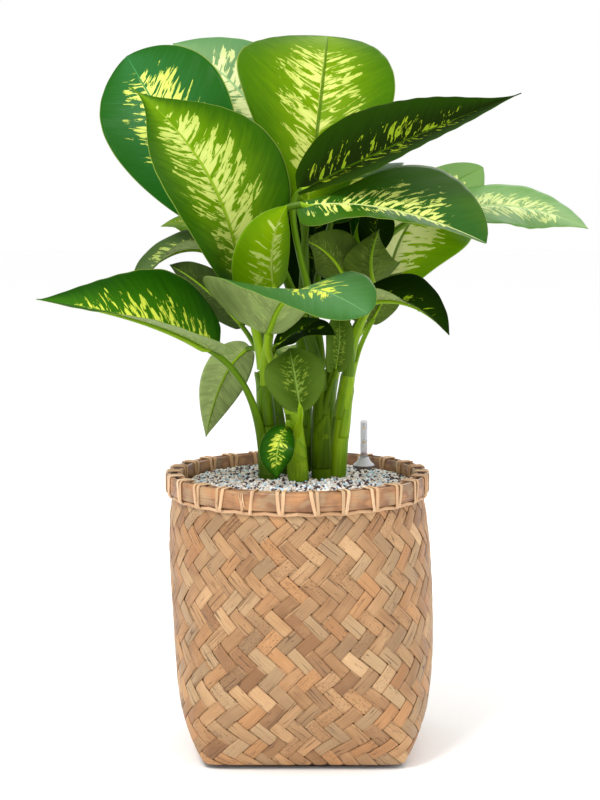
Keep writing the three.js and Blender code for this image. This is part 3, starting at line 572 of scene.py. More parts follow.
def blade(row, rows, columns):
    """Upper and under points of the blade with their texture coordinates."""
    s = (np.linspace(0, 1, rows) ** 1.2)[:, None]
    x = np.linspace(-1, 1, columns)[None, :]
    t = np.sign(x) * np.abs(x) ** 1.15

    def halves(pair):
        return np.where(t < 0, pair[0], pair[1])

    centre, tangent = bezier(midrib_points(row), s[:, 0])
    up = unit(row.face - (tangent @ row.face)[:, None] * tangent)
    side = np.cross(tangent, up)
    twist = math.radians(row.twist) * (1 - smooth(s, 0, 0.75))
    side, up = np.cos(twist) * side + np.sin(twist) * up, np.cos(twist) * up - np.sin(twist) * side
    ease = mix(halves(row.ease), 1, (1 - s) ** row.relax)
    fold = np.radians(halves(row.fold)) * ease
    curl = np.radians(halves(row.curl)) * np.abs(t) * ease
    curl = np.where(np.abs(curl) < 1e-4, 1e-4, curl)
    share = halves([mix(*pair, smooth(s, 0, 0.8)) for pair in (row.left, row.right)])
    spread = half_width(s, row.neck, row.point, row.swell) * row.width / 2 * np.abs(t) * share
    reach = spread * (np.sin(fold + curl) - np.sin(fold)) / curl
    rise = spread * (np.cos(fold) - np.cos(fold + curl)) / curl
    # The surface between the veins, the groove of the midrib, and the waves of the margin
    half = (t >= 0) * 1
    ripple = RIPPLE * t ** 2 * np.sin(9 * s + 1.9 * half + row.width) * np.sin(np.pi * s)
    rank = vein_rank(row, s, spread)
    fine = max(1, 100 / row.width) ** 0.8
    pucker = np.sqrt(np.abs(np.sin(np.pi * (rank * fine / VEIN_SPACING % 1)))) - 0.7
    pucker = pucker * smooth(spread, 1.5, 9) * (1 - smooth(np.abs(t), 0.8, 0.99)) * min(1, row.width / 110)
    channel = CHANNEL * np.exp(-(spread / 2.6) ** 2) * (1 - s) * smooth(s, 0, 0.04)
    frill = FRILL * t ** 4 * np.sin(2 * np.pi * rank / FRILL_PITCH) * np.sin(np.pi * s)
    lift = rise + ripple + PUCKER * pucker - channel + frill
    points = centre[:, None] + side[:, None] * (np.sign(t) * reach)[..., None] + up[:, None] * lift[..., None]
    points = points - tangent[:, None] * (row.lobe * (1 - s) ** 4 * np.abs(t) ** 1.5)[..., None]
    normal = unit(np.cross(np.gradient(points, axis=1), np.gradient(points, axis=0)) + 1e-9)
    depth = normal * (BLADE_THICK / 2 * (1 - 0.5 * np.abs(t) ** 6))[..., None]
    vein_uv = np.stack([spread * fine / 100 + 3.7 * half + row.seed, rank * fine / 100], -1)
    blade_uv = pairs(t * 0.5 + 0.5, s)
    return points + depth, points - depth, vein_uv, blade_uv


def ring_round(centre, radius, angle, side, other):
    """Points round a centre, in the plane of side and other."""
    return centre + radius[:, None] * (np.cos(angle)[:, None] * side + np.sin(angle)[:, None] * other)


def tube(curve, radii, sides, start_side=(1, 0, 0), squash=None):
    """Rings of points round a curve, with the frame carried along without twist."""
    side = np.asarray(start_side, float)
    a = np.arange(sides) * 2 * np.pi / sides
    rings = []
    for i, (centre, tangent) in enumerate(zip(*curve)):
        side = unit(side - side @ tangent * tangent)
        shape = squash(i, a) if squash else np.ones(sides)
        rings.append(ring_round(centre, radii[i] * shape, a, side, np.cross(tangent, side)))
    return np.array(rings)


def tube_parts(parts, rings, slot, seed):
    """Adds a tube with its end caps; the texture is mirrored round it so that it has no seam."""
    count, sides = rings.shape[:2]
    along = distances(rings.mean(1)) / 100 + seed
    number = np.arange(sides)
    turn = np.minimum(number, sides - number) / sides + seed
    uv = np.stack(np.meshgrid(turn, along), -1)
    parts.add(rings, [grid_faces(count, sides, wrap=True)], slot, stem=uv, vein=uv, blade=uv * 0)
    fan = np.stack([number * 0, number + 1, (number + 1) % sides + 1], -1)
    for ring, v, faces in ((rings[0], along[0], fan[:, ::-1]), (rings[-1], along[-1], fan)):
        uv = np.stack([np.concatenate([[seed], turn]), np.full(sides + 1, v)], -1)
        parts.add(np.vstack([ring.mean(0), ring]), [faces], slot, stem=uv, vein=uv, blade=uv * 0)


def cane_points(name):
    foot, head, _ = CANES[name]
    low, high = np.array(foot, float), np.array(head, float)
    return [low - (0, 0, ROOT_DEPTH), low + (0, 0, 12), mix(low, high, 0.55), high]


def cane_radius(name, u):
    return CANES[name][2] * mix(1, 0.62, smooth(u, 0.35, 1))


def stalk_points(row):
    """The stalk's curve from the cane to the blade, and the way in which it leaves the cane."""
    start, rise = (v[0] for v in bezier(cane_points(row.cane), [row.leave]))
    end, arrive = (v[0] for v in bezier(midrib_points(row), [0.0]))
    away = end - start
    away = unit(away - away @ rise * rise)
    if row.leave < 1:
        start = start + away * CANES[row.cane][2] * 0.45
    span = np.linalg.norm(end - start)
    return [start, start + rise * span * row.pull, end - arrive * span * row.reach, end], away


def rib_tube(row):
    """The midrib under the blade, tapering to the tip."""
    s = np.linspace(0, 0.94, 26)
    centre, tangent = bezier(midrib_points(row), s)
    up = unit(row.face - (tangent @ row.face)[:, None] * tangent)
    radius = RIB_TOP * min(1, row.width / 100) * (1 - s) ** 0.8 + 0.35
    centre = centre - up * (radius * smooth(s, 0, 0.05))[:, None]
    return tube((centre, tangent), radius * 0.8, 10, np.cross(tangent[0], up[0]))


def build_leaf(row):
    upper_look, under_look, stalk_look = row.look.split()
    rows, columns = (126, 41) if row.width >= 130 else (90, 27) if row.width >= 75 else (56, 19)
    top, under, vein_uv, blade_uv = blade(row, rows, columns)
    parts = Parts()
    upper, lower, edge = sheet_faces(rows, columns)
    vein_uv, blade_uv = (np.tile(uv.reshape(-1, 2), (2, 1)) for uv in (vein_uv, blade_uv))
    parts.add([top, under], [upper, edge, lower], [0, 0, 1], stem=vein_uv * 0, vein=vein_uv, blade=blade_uv)
    controls, away = stalk_points(row)
    u = np.linspace(0, 1, 30)
    radii = mix(STALK_FOOT, RIB_TOP, smooth(u, 0, 0.7)) * min(1, 0.55 + row.width / 260)

    def sheath(i, a):
        """The lower stalk is flattened, with a groove on the side towards the cane."""
        groove = 0.3 * (1 - smooth(u[i], 0.25, 0.75)) + 0.1
        return 1 + groove * 0.6 * np.sin(a) ** 2 - groove * np.exp(-((np.cos(a) + 1) / 0.25) ** 2)

    tube_parts(parts, tube(bezier(controls, u), radii, 16, away, sheath), 2, row.seed)
    tube_parts(parts, rib_tube(row), 3, row.seed)
    materials = [UPPER[upper_look], UNDER[under_look], STALKS[stalk_look], STALKS["light"]]
    parts.piece(row.name, materials, [row.name])


# Cane c takes the dark look's painted shade
CANE_LOOKS = {"b": "light", "c": "dark", "d": "light"}
SHEATH_HALF_ANGLE = np.radians(150)


def build_cane(index, name):
    """A stout stem with a ring at each old leaf, wrapped in the sheaths of its leaf stalks."""
    seed = 5.3 + 2.1 * index
    u = np.linspace(0, 1, 60)
    ring_phase = (u * 9 + 0.3 * index) % 1
    radius = cane_radius(name, u) * (1 - 0.025 * np.exp(-((ring_phase - 0.5) / 0.05) ** 2))
    end = 1 - np.clip((u - 0.965) / 0.035, 0, 1) ** 2
    radius = radius * np.sqrt(np.maximum(end, 0.02))
    parts = Parts()
    tube_parts(parts, tube(bezier(cane_points(name), u), radius, 24), 0, seed)
    children = sorted([row for row in LEAVES if row.cane == name], key=lambda row: row.leave)
    v = np.linspace(0, 1, 22)
    around = np.linspace(-1, 1, 17)
    spread = SHEATH_HALF_ANGLE * (1 - 0.75 * smooth(v, 0.55, 1) - 0.15 * v)
    for k, row in enumerate(children):
        away = stalk_points(row)[1]
        at = mix(max(0.36, row.leave - 0.26), min(0.99, row.leave + 0.05), v)
        curve = list(zip(*bezier(cane_points(name), at)))
        shells = []
        for offset in (1 + 0.05 * k, 0.35 + 0.05 * k):
            for i, (centre, tangent) in enumerate(curve):
                side = unit(away - away @ tangent * tangent)
                a = around * spread[i]
                lean = 1.6 * smooth(v[i], 0.6, 1) * np.cos(a * 0.8)
                r = cane_radius(name, at[i]) + offset * smooth(v[i], -0.1, 0.25) + lean
                shells.append(ring_round(centre, r, a, side, np.cross(tangent, side)))
        uv = np.stack(np.meshgrid(around * 0.4 + seed + k, v * 0.8 + seed), -1)
        uv = np.tile(uv.reshape(-1, 2), (2, 1))
        parts.add(shells, sheet_faces(len(v), len(around)), 0, stem=uv, vein=uv, blade=uv * 0)
    node = "cane_" + name
    parts.piece(node, [STALKS[CANE_LOOKS.get(name, "green")]], [node])


for number, leaf in enumerate(LEAVES, 1):
    leaf.seed = 1.37 * number
    build_leaf(leaf)
for number, letter in enumerate(CANES):
    build_cane(number, letter)


# The basket
STRIPS = 44
STRIP_PITCH = 22.4
STRIP_WIDTH = 15.2
STRIP_THICK = 1
STRIP_LOW = 5.6
STRIP_HIGH = 337
# Across a strip, as shares of its width, and how far each point of its section stands out
STRIP_ACROSS = np.array([-0.5, -0.46, -0.17, 0.17, 0.46, 0.5, 0.46, -0.46])
STRIP_CROWN = np.array([-0.5, -0.05, 0.22, 0.22, -0.05, -0.5, -STRIP_THICK, -STRIP_THICK])
STRIP_SINK = 1.15
STRIP_LIFT = 0.8


def axis_x(z):
    return AXIS_TOP * smooth(z, AXIS_TURN, RIM_TOP)


def wall(angle, z, out):
    """Points of the basket's wall at an angle and height, moved outwards."""
    z = np.clip(z, BASKET_PROFILE[0, 0], BASKET_PROFILE[-1, 0])
    half = np.interp(z, BASKET_PROFILE[:, 0], BASKET_PROFILE[:, 1])
    square = np.interp(z, BASKET_PROFILE[:, 0], BASKET_PROFILE[:, 2])
    r = half / (np.abs(np.cos(angle)) ** square + np.abs(np.sin(angle)) ** square) ** (1 / square) + out
    return around_axis(r, angle, z, axis_x(z))


# Height by distance along the wall's profile
profile_z = np.linspace(STRIP_LOW, STRIP_HIGH, 400)
profile_r = np.interp(profile_z, BASKET_PROFILE[:, 0], BASKET_PROFILE[:, 1])
profile_v = distances(np.stack([profile_z, profile_r], -1))
WALL_LENGTH = profile_v[-1]


def strip_rows():
    """Heights up the wall at which a strip has rings, close together where it dips under its neighbours."""
    half = STRIP_PITCH / 2
    steps = np.array([-0.07, 0, 0.07, 0.2, 0.6, 1, 1.4, 1.8])
    turns = np.arange(-1, math.ceil(WALL_LENGTH / STRIP_PITCH) + 1)
    run = ((2 * turns[:, None] - 0.5 + steps) * half).ravel()
    return run[(run > -6) & (run < WALL_LENGTH + 6)]


def strip_piece(name, family, material):
    """One family of slanting strips, each over two and under two of the other."""
    parts = Parts()
    run = strip_rows()
    lean = -1 if family == 0 else 1
    round_length = STRIPS * STRIP_PITCH
    step = 2 * run / STRIP_PITCH
    over = np.clip(11 * np.cos(np.pi / 2 * (step - 0.5)), -1, 1) * -lean
    float_number = np.floor((step + 0.5) / 2)
    arch = 1 - np.abs((step + 0.5) / 2 % 1 - 0.5) ** 2 * 4
    lift = STRIP_LIFT * over + 0.26 * (arch - 1) * (over > 0)
    for i in range(STRIPS):
        seed = 0.83 * i + 40 * family
        width = STRIP_WIDTH * rng.uniform(0.92, 1.03)
        sway = 0.5 * np.sin(run / 47 + rng.uniform(0, 6)) + 0.3 * np.sin(run / 19 + rng.uniform(0, 6))
        tilt = rng.uniform(-0.22, 0.22, 40)[(float_number + 4).astype(int)] * over
        cross = STRIP_ACROSS * width
        x = (STRIP_PITCH * i + lean * run + sway)[:, None] + cross / math.sqrt(2)
        y = run[:, None] - lean * cross / math.sqrt(2)
        # Slow waves, so that the strips aren't ruled lines
        turn = 2 * np.pi * x / round_length
        x_bent = x + 1.6 * np.sin(3 * turn + y / 52) + 1.1 * np.sin(7 * turn - y / 37)
        y_bent = y + 2.6 * np.sin(4 * turn + y / 80 + 1) + 1.4 * np.sin(9 * turn + y / 60)
        out = lift[:, None] - STRIP_SINK + STRIP_CROWN + tilt[:, None] * cross / width * 2
        z = np.interp(np.clip(y_bent, 0, WALL_LENGTH), profile_v, profile_z)
        points = wall(2 * np.pi * x_bent / round_length - np.pi / 2, z, out)
        grain = pairs(cross / 100, run[:, None] / 100 * 1.414) + seed
        patch = pairs(cross * 0, float_number[:, None] * 0.61) + seed
        parts.add(points, [grid_faces(len(run), len(cross), wrap=True)], 0, grain=grain, patch=patch)
    parts.piece(name, [material], ["basket"])


def bamboo_material(name, light, middle, dark, rough=0.5, split=1, speckle=1):
    """Split bamboo: fibres, cracks, stains and spots, with another tint on each float."""
    n = Nodes(name)
    light, middle, dark = (srgb(*color) for color in (light, middle, dark))
    value = n.noise(n.uv("patch"), 3.1, 2)
    tint = n.noise(n.uv("patch", 2.3, 1.7), 2.3, 1)
    slow = n.pattern("grain", 3, 2, 2)
    grain = n.pattern("grain", 130, 3.2, 4, 0.6)
    fine = n.pattern("grain", 420, 9, 2, 0.6)
    level = n.add(n.math("MULTIPLY_ADD", value, 0.9, -0.2), n.mul(slow, 0.35))
    color = n.ramp(n.add(level, -0.02), (0.3, dark), (0.46, middle), (0.62, light))
    color = n.blend(n.band(tint, 0.5, 0.62, 0, 0.5), color, srgb(180, 158, 122))
    color = n.blend(n.band(tint, 0.36, 0.46, 0.55, 0), color, srgb(204, 146, 92))
    color = n.blend(n.band(grain, 0.3, 0.7, 0.32, 0), color, dark)
    color = n.blend(n.band(fine, 0.35, 0.6, 0.22, 0), color, dark)
    crack = n.math("ABSOLUTE", n.math("SUBTRACT", n.pattern("grain", 26, 0.9, 1), 0.5))
    gap = n.band(crack, 0.004, 0.012, 0.75 * split, 0)
    color = n.blend(gap, color, srgb(70, 42, 22))
    stain = n.band(n.pattern("grain", 9, 4, 4, 0.7), 0.6, 0.72, 0, 0.55 * speckle)
    color = n.blend(stain, color, srgb(120, 82, 48))
    spot = n.band(n.pattern("grain", 70, 34, 3), 0.56, 0.64)
    where = n.band(n.noise(n.uv("patch", 1.9, 2.9), 4.7, 1), 0.52, 0.62)
    color = n.blend(n.mul(n.mul(spot, where), 0.7 * speckle), color, srgb(84, 56, 34))
    height = n.add(n.mul(grain, 0.6), n.mul(gap, -0.8))
    return n.finish(color, n.band(value, 0.3, 0.7, rough - 0.08, rough + 0.1), n.bump(height, 0.35, 0.0006),
                    Specular_IOR_Level=0.45)


def lathe(parts, section, x, y, sides, seed=0):
    """Turns a closed outline of (radius, height) about an upright axis."""
    section = np.asarray(section, float)
    a = np.arange(sides + 1) * 2 * np.pi / sides
    r, z = section[:, :1], section[:, 1:]
    uv = pairs(distances(section)[:, None] / 100, a * r.max() / 100) + seed
    faces = grid_faces(len(section), sides + 1, flip=True)
    parts.add(around_axis(r, a, z, x, y), [faces], 0, grain=uv, patch=uv)


STRAW = bamboo_material("bamboo_strips", (222, 184, 138), (192, 150, 104), (148, 106, 68))
STRAW_B = bamboo_material("bamboo_strips_b", (214, 172, 126), (182, 139, 95), (136, 96, 60))
strip_piece("weave_left", 0, STRAW)
strip_piece("weave_right", 1, STRAW_B)


def plain_material(name, color, roughness, other=None, scale=60, amount=0.5, bump=0):
    """A plain finish with a soft second tone."""
    n = Nodes(name)
    noise = n.noise(n.place(), scale, 4)
    tone = n.blend(n.band(noise, 0.35, 0.65, 0, amount), color, other or shade(color, 0.8))
    return n.finish(tone, roughness, n.bump(noise, bump, 0.001) if bump else None)


BACKING_OUT = -2.9
BACKING_IN = -4.7
BACKING_SIDES = 96


def shade_backing():
    """A dark sheet inside the weave, with its floor: painted shade, seen through the gaps between the strips.
    """
    z = np.array([STRIP_LOW, *BASKET_PROFILE[1:-1, 0], STRIP_HIGH])[:, None]
    angle = np.arange(BACKING_SIDES + 1)[None, :] * 2 * np.pi / BACKING_SIDES
    outside, inside = wall(angle, z, BACKING_OUT), wall(angle, z[::-1], BACKING_IN)
    middle = np.array([0, 0, STRIP_LOW - 0.1]) + 0 * inside[-1:]
    rows = np.concatenate([middle, outside, inside])
    parts = Parts()
    parts.add(rows, [grid_faces(*rows.shape[:2])], 0)
    # Painted shade: the sheet's dark brown stands for the shade in the weave's gaps
    dark = plain_material("weave_painted_shade", srgb(74, 46, 26), 0.9)
    parts.piece("weave_backing", [dark], ["basket"])


shade_backing()

HOOP_LOOK = bamboo_material("hoop_bamboo", (196, 150, 106), (172, 124, 84), (130, 88, 56), 0.42, 0.6, 0.4)
RIM_LOW = RIM_TOP - RIM_HEIGHT


def hoop_piece(name, inner, outer, seed):
    section = [
        (inner, RIM_LOW + 1.2), (inner + 1.2, RIM_LOW), (outer - 1.2, RIM_LOW), (outer, RIM_LOW + 1.4),
        (outer, RIM_TOP - 3), (outer - 1, RIM_TOP - 0.8), (outer - 2.4, RIM_TOP), (inner + 1.4, RIM_TOP),
        (inner, RIM_TOP - 1.4), (inner, RIM_LOW + 1.2),
    ]
    parts = Parts()
    lathe(parts, section, AXIS_TOP, 0, 208, seed)
    parts.piece(name, [HOOP_LOOK], [name])


hoop_piece("rim_hoop_outer", *HOOP_OUT, 7.7)
hoop_piece("rim_hoop_inner", *HOOP_IN, 3.1)

LASH_LOOK = bamboo_material("lashing_rattan", (244, 214, 180), (230, 192, 152), (188, 144, 102), 0.5, 0.5,
                            0.2)
LASH_PAIRS = 26
SINGLE_LASH = 24
LASH_WIDTH = 4.4
LASH_THICK = 1.3
FRAY_ANGLE = math.radians(-113.5)
FRAY_FIBRES = 11


def rim_points(r, a, z):
    """Points about the rim's axis, with the ways outwards and round."""
    radial = np.stack([np.cos(a), np.sin(a), 0 * a], -1)
    ahead = np.stack([-np.sin(a), np.cos(a), 0 * a], -1)
    return around_axis(r, a, z, AXIS_TOP), radial, ahead


def ribbon(parts, centre, across, outward, width, thick, seed):
    """A flat strand with a crowned face along a line of points."""
    section = np.array([(-0.5, -0.5), (-0.5, 0.1), (-0.3, 0.5), (0.3, 0.5), (0.5, 0.1), (0.5, -0.5)])
    rows = np.stack([centre + across * (width * a) + outward * (thick * b) for a, b in section], 1)
    grain = pairs(section[:, 0] * width / 100, distances(centre)[:, None] / 100) + seed
    faces = grid_faces(len(centre), len(section), wrap=True)
    parts.add(rows, [faces], 0, grain=grain, patch=grain * 0 + seed)


def lashing_piece():
    parts = Parts()
    out, inside = HOOP_OUT[1] + 0.9, HOOP_IN[0] - 0.9
    # Once round the hoops: up the inside, over the top, down the outside. Radius and height, the way it
    # faces, how far its strand has moved from the pair's middle, and how much of the slant it has
    path = np.array([
        (inside, RIM_LOW + 1, -1, 0, 0.3, 0), (inside, RIM_TOP - 2, -1, 0, 1, 0),
        (inside + 0.9, RIM_TOP + 0.7, -0.7, 0.7, 1, 0), (inside + 3, RIM_TOP + 1.2, 0, 1, 1, 0),
        (out - 3, RIM_TOP + 1.2, 0, 1, 1, 0), (out - 0.9, RIM_TOP + 0.7, 0.7, 0.7, 1, 0),
        (out, RIM_TOP - 2.5, 1, 0, 1, 0), (out, RIM_LOW + 2, 1, 0, 0.66, 0.8),
        (out - 0.3, RIM_LOW - 1.5, 1, -0.15, 0.52, 1), (out - 2.2, RIM_LOW - 4.2, 0.8, -0.5, 0.4, 1),
    ])
    r, z, faces_out, faces_up, gather, drop = path.T
    for k in range(LASH_PAIRS):
        middle = 2 * np.pi * (k + 0.5) / LASH_PAIRS - np.pi / 2
        slant = rng.uniform(-3.2, 3.2)
        for lean in ((1,) if k == SINGLE_LASH else (-1, 1)):
            open_at_top = 4.2 + rng.uniform(-0.9, 0.5)
            a = middle + (lean * gather * open_at_top + slant * drop) / r + rng.uniform(-0.003, 0.003)
            centre, radial, ahead = rim_points(r, a, z)
            centre = centre + radial * (0.12 * (lean + 1))
            outward = unit(radial * faces_out[:, None] + np.array([0, 0, 1.0]) * faces_up[:, None])
            width = LASH_WIDTH * rng.uniform(0.9, 1.05)
            ribbon(parts, centre, ahead, outward, width, LASH_THICK, 0.37 * k + 0.19 * lean)
    # The strand that runs on below the hoop from pair to pair
    a = np.linspace(0, 2 * np.pi, LASH_PAIRS * 12 + 1) - np.pi / 2
    hang = np.abs(np.sin(a * LASH_PAIRS / 2 + np.pi / 2 * LASH_PAIRS / 2))
    centre, radial, _ = rim_points(155.6 + 1.2 * (1 - hang), a, RIM_LOW - 2.6 - 1.7 * hang)
    ribbon(parts, centre, np.array([0, 0, 1.0]) + 0 * radial, radial, LASH_WIDTH, 2, 5.5)
    # A frayed end tucked in at the front
    u = np.linspace(0, 1, 6)
    for k in range(FRAY_FIBRES):
        a = FRAY_ANGLE + rng.uniform(-0.014, 0.014) + rng.uniform(-0.03, 0.03) * u
        r = HOOP_OUT[1] + 0.5 + np.sin(np.pi * u) * rng.uniform(0.3, 1.5)
        z = mix(rng.uniform(RIM_LOW - 2, RIM_LOW + 5), rng.uniform(RIM_LOW + 8, RIM_TOP - 1), u)
        centre, radial, ahead = rim_points(r, a, z)
        ribbon(parts, centre, ahead, radial, rng.uniform(0.9, 1.7), 0.6, 7 + k)
    parts.piece("rim_lashing", [LASH_LOOK], ["rim_lashing"])


lashing_piece()

# Granules. Each look has its colour, its second tone and its share of the granules.
GRANULES = {
    "beige": ((236, 222, 208), (200, 182, 166), 0.34),
    "blue": ((196, 226, 244), (164, 190, 208), 0.15),
    "brown": ((90, 66, 68), (62, 44, 48), 0.24),
    "white": ((254, 252, 252), (236, 230, 228), 0.27),
}
GRANULE_PITCH = 3.7
GRANULE_SIZES = (1.7, 2.7)
GAUGE_CLEARANCE = 13.5
SOIL_SINK = 2.6
GOLDEN = (1 + 5 ** 0.5) / 2
# A ball of twenty sides, from which each granule is bent
CORNERS = [(-1, GOLDEN, 0), (1, GOLDEN, 0), (-1, -GOLDEN, 0), (1, -GOLDEN, 0)]
CORNERS = unit(np.concatenate([np.roll(CORNERS, k, axis=1) for k in range(3)]))
SIDES = np.array([
    (0, 11, 5), (0, 5, 1), (0, 1, 7), (0, 7, 10), (0, 10, 11), (1, 5, 9), (5, 11, 4), (11, 10, 2),
    (10, 7, 6), (7, 1, 8), (3, 9, 4), (3, 4, 2), (3, 2, 6), (3, 6, 8), (3, 8, 9), (4, 9, 5),
    (2, 4, 11), (6, 2, 10), (8, 6, 7), (9, 8, 1),
])


def soil_height(x, y):
    r = np.hypot(x, y) / SOIL_RADIUS
    rough = np.sin(x * 0.31 + 1.3 * np.sin(y * 0.23)) * np.cos(y * 0.37 + np.sin(x * 0.19))
    return mix(SOIL_CROWN, SOIL_EDGE, r * r) + SOIL_BUMP * rough * (1 - r ** 6)


def granules():
    """Single granules in loose rings on a bed darkened with painted shade, clear of the canes and the gauge.
    """
    parts = Parts()
    a = np.arange(73) * 2 * np.pi / 72
    r = np.linspace(0, SOIL_RADIUS - 0.3, 18)[:, None]
    x, y = r * np.cos(a), r * np.sin(a)
    bed = np.stack([LINER_X + x, y, soil_height(x, y) - SOIL_SINK], -1)
    parts.add(bed, [grid_faces(*bed.shape[:2], flip=True)], len(GRANULES))
    shares = [share for _, _, share in GRANULES.values()]
    feet = np.array([(foot[0], foot[1], radius) for foot, _, radius in CANES.values()])
    for ring in range(1, int((SOIL_RADIUS - 2) / GRANULE_PITCH) + 1):
        count = int(2 * np.pi * ring)
        for k in range(count):
            turn = 2 * np.pi * (k + rng.uniform(-0.25, 0.25)) / count + ring
            reach = min(ring * GRANULE_PITCH + rng.uniform(-0.9, 0.9), SOIL_RADIUS - 2.6)
            x, y = reach * math.cos(turn), reach * math.sin(turn)
            size = rng.uniform(*GRANULE_SIZES)
            near = np.hypot(LINER_X + x - feet[:, 0], y - feet[:, 1]) - feet[:, 2]
            gauge = math.hypot(LINER_X + x - GAUGE_XY[0], y - GAUGE_XY[1])
            if near.min() < size * 0.5 or gauge < GAUGE_CLEARANCE + size * 0.6:
                continue
            axes, _ = np.linalg.qr(rng.normal(size=(3, 3)))
            shape = CORNERS * rng.uniform(0.82, 1.15, (12, 1)) * rng.uniform(0.75, 1.15, 3) * size
            centre = (LINER_X + x, y, soil_height(x, y) - size * 0.35 + rng.uniform(-0.5, 0.7))
            kind = rng.choice(len(shares), p=shares)
            parts.add(shape @ axes.T + centre, [SIDES if np.linalg.det(axes) > 0 else SIDES[:, ::-1]], kind)
    looks = [plain_material("granule_" + look, srgb(*color), 0.95, srgb(*other), 700, bump=0.3)
             for look, (color, other, _) in GRANULES.items()]
    # The bed's dark colour is painted shade in the gaps between the granules
    looks.append(plain_material("granule_bed_painted_shade", srgb(70, 54, 50), 0.95))
    parts.piece("granules", looks, ["granules"], smooth_faces=False)


granules()

# The gauge. Outlines are (radius, height), those of the collar from its seat on the granules
TUBE_OUTLINE = [
    (0.01, 388), (3.6, 387.4), (3.7, 385), (3.7, 330), (4.7, 330), (4.7, 389.2), (4.4, 390.4), (3.6, 391),
    (0.01, 391),
]
COLLAR_OUTLINE = [
    (5.1, 0), (13.4, 0), (13.5, 2.6), (12.8, 4), (10.6, 5.4), (8.6, 7.4), (7.4, 9.6), (6.9, 11.4),
    (6.4, 12.7), (5.1, 13), (5.1, 0),
]
COLLAR_FOOT_OUTLINE = [
    (9, 0.05), (13.5, 0.05), (13.75, 0.5), (13.75, 2.2), (13.45, 2.7), (9, 2.7), (9, 0.05),
]
FLOAT_OUTLINE = [(0.01, 346.1), (2.7, 346.1), (2.9, 346.5), (2.9, 349.6), (2.5, 350.1), (0.01, 350.1)]
MARK_HEIGHTS = (363.8, 381.6)
# Lowest and highest edge from the mark's height, and half its angle: a bar and the tick above it
MARK_BARS = ((-0.6, 0.5, 24), (0.9, 1.6, 9))
MARK_RADII = (4.6, 4.85)
CLEAR_SHARE = 0.7


def clear_material():
    """Frosted clear plastic."""
    n = Nodes("gauge_clear")
    n.finish(srgb(226, 226, 230), 0.3)
    return n.mix_in("ShaderNodeBsdfTransparent", (0.89, 0.89, 0.9, 1), CLEAR_SHARE)


def turned_piece(name, outline, material, nodes=(), body="planter", sides=48, seat=0):
    parts = Parts()
    lathe(parts, np.array(outline) + (0, seat), *GAUGE_XY, sides)
    parts.piece(name, [material], nodes, body)


def gauge_marks():
    """Two short yellow marks on the tube, each a bar with a tick above it."""
    parts = Parts()
    inner, outer = MARK_RADII
    for z in MARK_HEIGHTS:
        for low, high, half in MARK_BARS:
            a = np.radians(np.linspace(-half, half, 7)) - np.pi / 2
            section = np.array([(inner, low), (outer, low), (outer, high), (inner, high)])
            r, height = section[:, :1], section[:, 1:]
            points = around_axis(r, a, z + height, *GAUGE_XY)
            closed = np.concatenate([points, points[:1]])
            parts.add(closed, [grid_faces(*closed.shape[:2], flip=True)])
            for end in (0, -1):
                parts.add(points[:, end], [np.array([[0, 1, 2, 3]])])
    parts.piece("gauge_marks", [YELLOW], smooth_faces=False)


CLEAR = clear_material()
COLLAR = plain_material("collar_plastic", srgb(210, 208, 216), 0.3, srgb(196, 194, 204), 40, 0.4)
COLLAR_FOOT = plain_material("collar_foot", srgb(96, 82, 80), 0.5)
RED = plain_material("float_red", srgb(196, 16, 22), 0.5, srgb(170, 10, 16), 40, 0.4)
YELLOW = plain_material("mark_yellow", srgb(226, 186, 40), 0.45, srgb(214, 172, 30), 40, 0.4)
turned_piece("gauge_tube", TUBE_OUTLINE, CLEAR, ["gauge_tube"])
turned_piece("gauge_collar", COLLAR_OUTLINE, COLLAR, ["gauge_collar"], seat=GAUGE_SEAT)
gauge_marks()
turned_piece("collar_foot", COLLAR_FOOT_OUTLINE, COLLAR_FOOT, seat=GAUGE_SEAT)
turned_piece("gauge_float", FLOAT_OUTLINE, RED, ["gauge_float"], "float", 32)

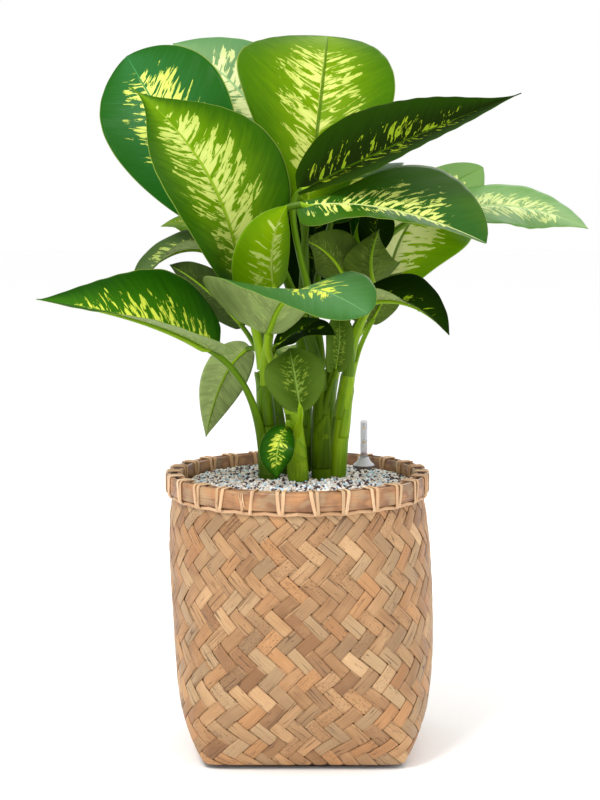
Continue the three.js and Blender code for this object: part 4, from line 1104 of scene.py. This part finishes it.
# The foot and the liner keep the CAD's shapes
WOOD = plain_material("foot_wood", srgb(74, 54, 40), 0.55, srgb(52, 36, 26), 90, 0.7, 0.2)
LINER = plain_material("liner_plastic", srgb(44, 44, 46), 0.5, srgb(36, 36, 38), 50, 0.4)
for node_name, look in (("foot_plate", WOOD), ("liner_pot", LINER)):
    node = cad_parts[node_name]
    if node.material_slots:
        for material_slot in node.material_slots:
            material_slot.material = look
    else:
        node.data.materials.append(look)

# The stage: camera, lights, world and floor


def aim(obj, at, target):
    obj.location = at
    obj.rotation_euler = (Vector(target) - Vector(at)).to_track_quat("-Z", "Y").to_euler()
    bpy.context.scene.collection.objects.link(obj)


camera = bpy.data.objects.new("camera", bpy.data.cameras.new("camera"))
camera.data.lens = LENS_MM
camera.data.sensor_width = 36
aim(camera, CAMERA_AT, CAMERA_LOOKS_AT)
bpy.context.scene.camera = camera
bpy.context.scene.view_settings.view_transform = "Standard"

# Place, target, width in metres, power in watts and colour of each lamp
LAMPS = {
    "key": ((-1, -1.5, 2.7), (0, 0, 0.45), 0.9, 52, (1, 0.985, 0.96)),
    "fill": ((2.2, -1.8, 1.3), (0, 0, 0.4), 1.8, 10, (0.96, 0.98, 1)),
    "rear": ((0.8, 2.2, 2), (0, 0, 0.6), 1.2, 16, (1, 1, 1)),
}
for lamp_name, (at, target, size, power, color) in LAMPS.items():
    light = bpy.data.lights.new(lamp_name, "AREA")
    light.shape = "DISK"
    light.size = size
    light.energy = power
    light.color = color
    aim(bpy.data.objects.new(lamp_name, light), at, target)

world = bpy.data.worlds.new("studio")
bpy.context.scene.world = world
world.use_nodes = True
background = world.node_tree.nodes["Background"]
background.inputs[0].default_value = (1, 1, 1, 1)
background.inputs[1].default_value = 1

FLOOR_HALF = 8000
floor_parts = Parts()
floor_corners = [(x * FLOOR_HALF, y * FLOOR_HALF, 0) for x, y in ((-1, -1), (1, -1), (1, 1), (-1, 1))]
floor_parts.add(floor_corners, [np.array([[0, 1, 2, 3]])])
white = plain_material("floor_white", (0.98, 0.98, 0.98, 1), 0.9, (0.97, 0.97, 0.97, 1))
floor_parts.build("floor", [white], smooth_faces=False)
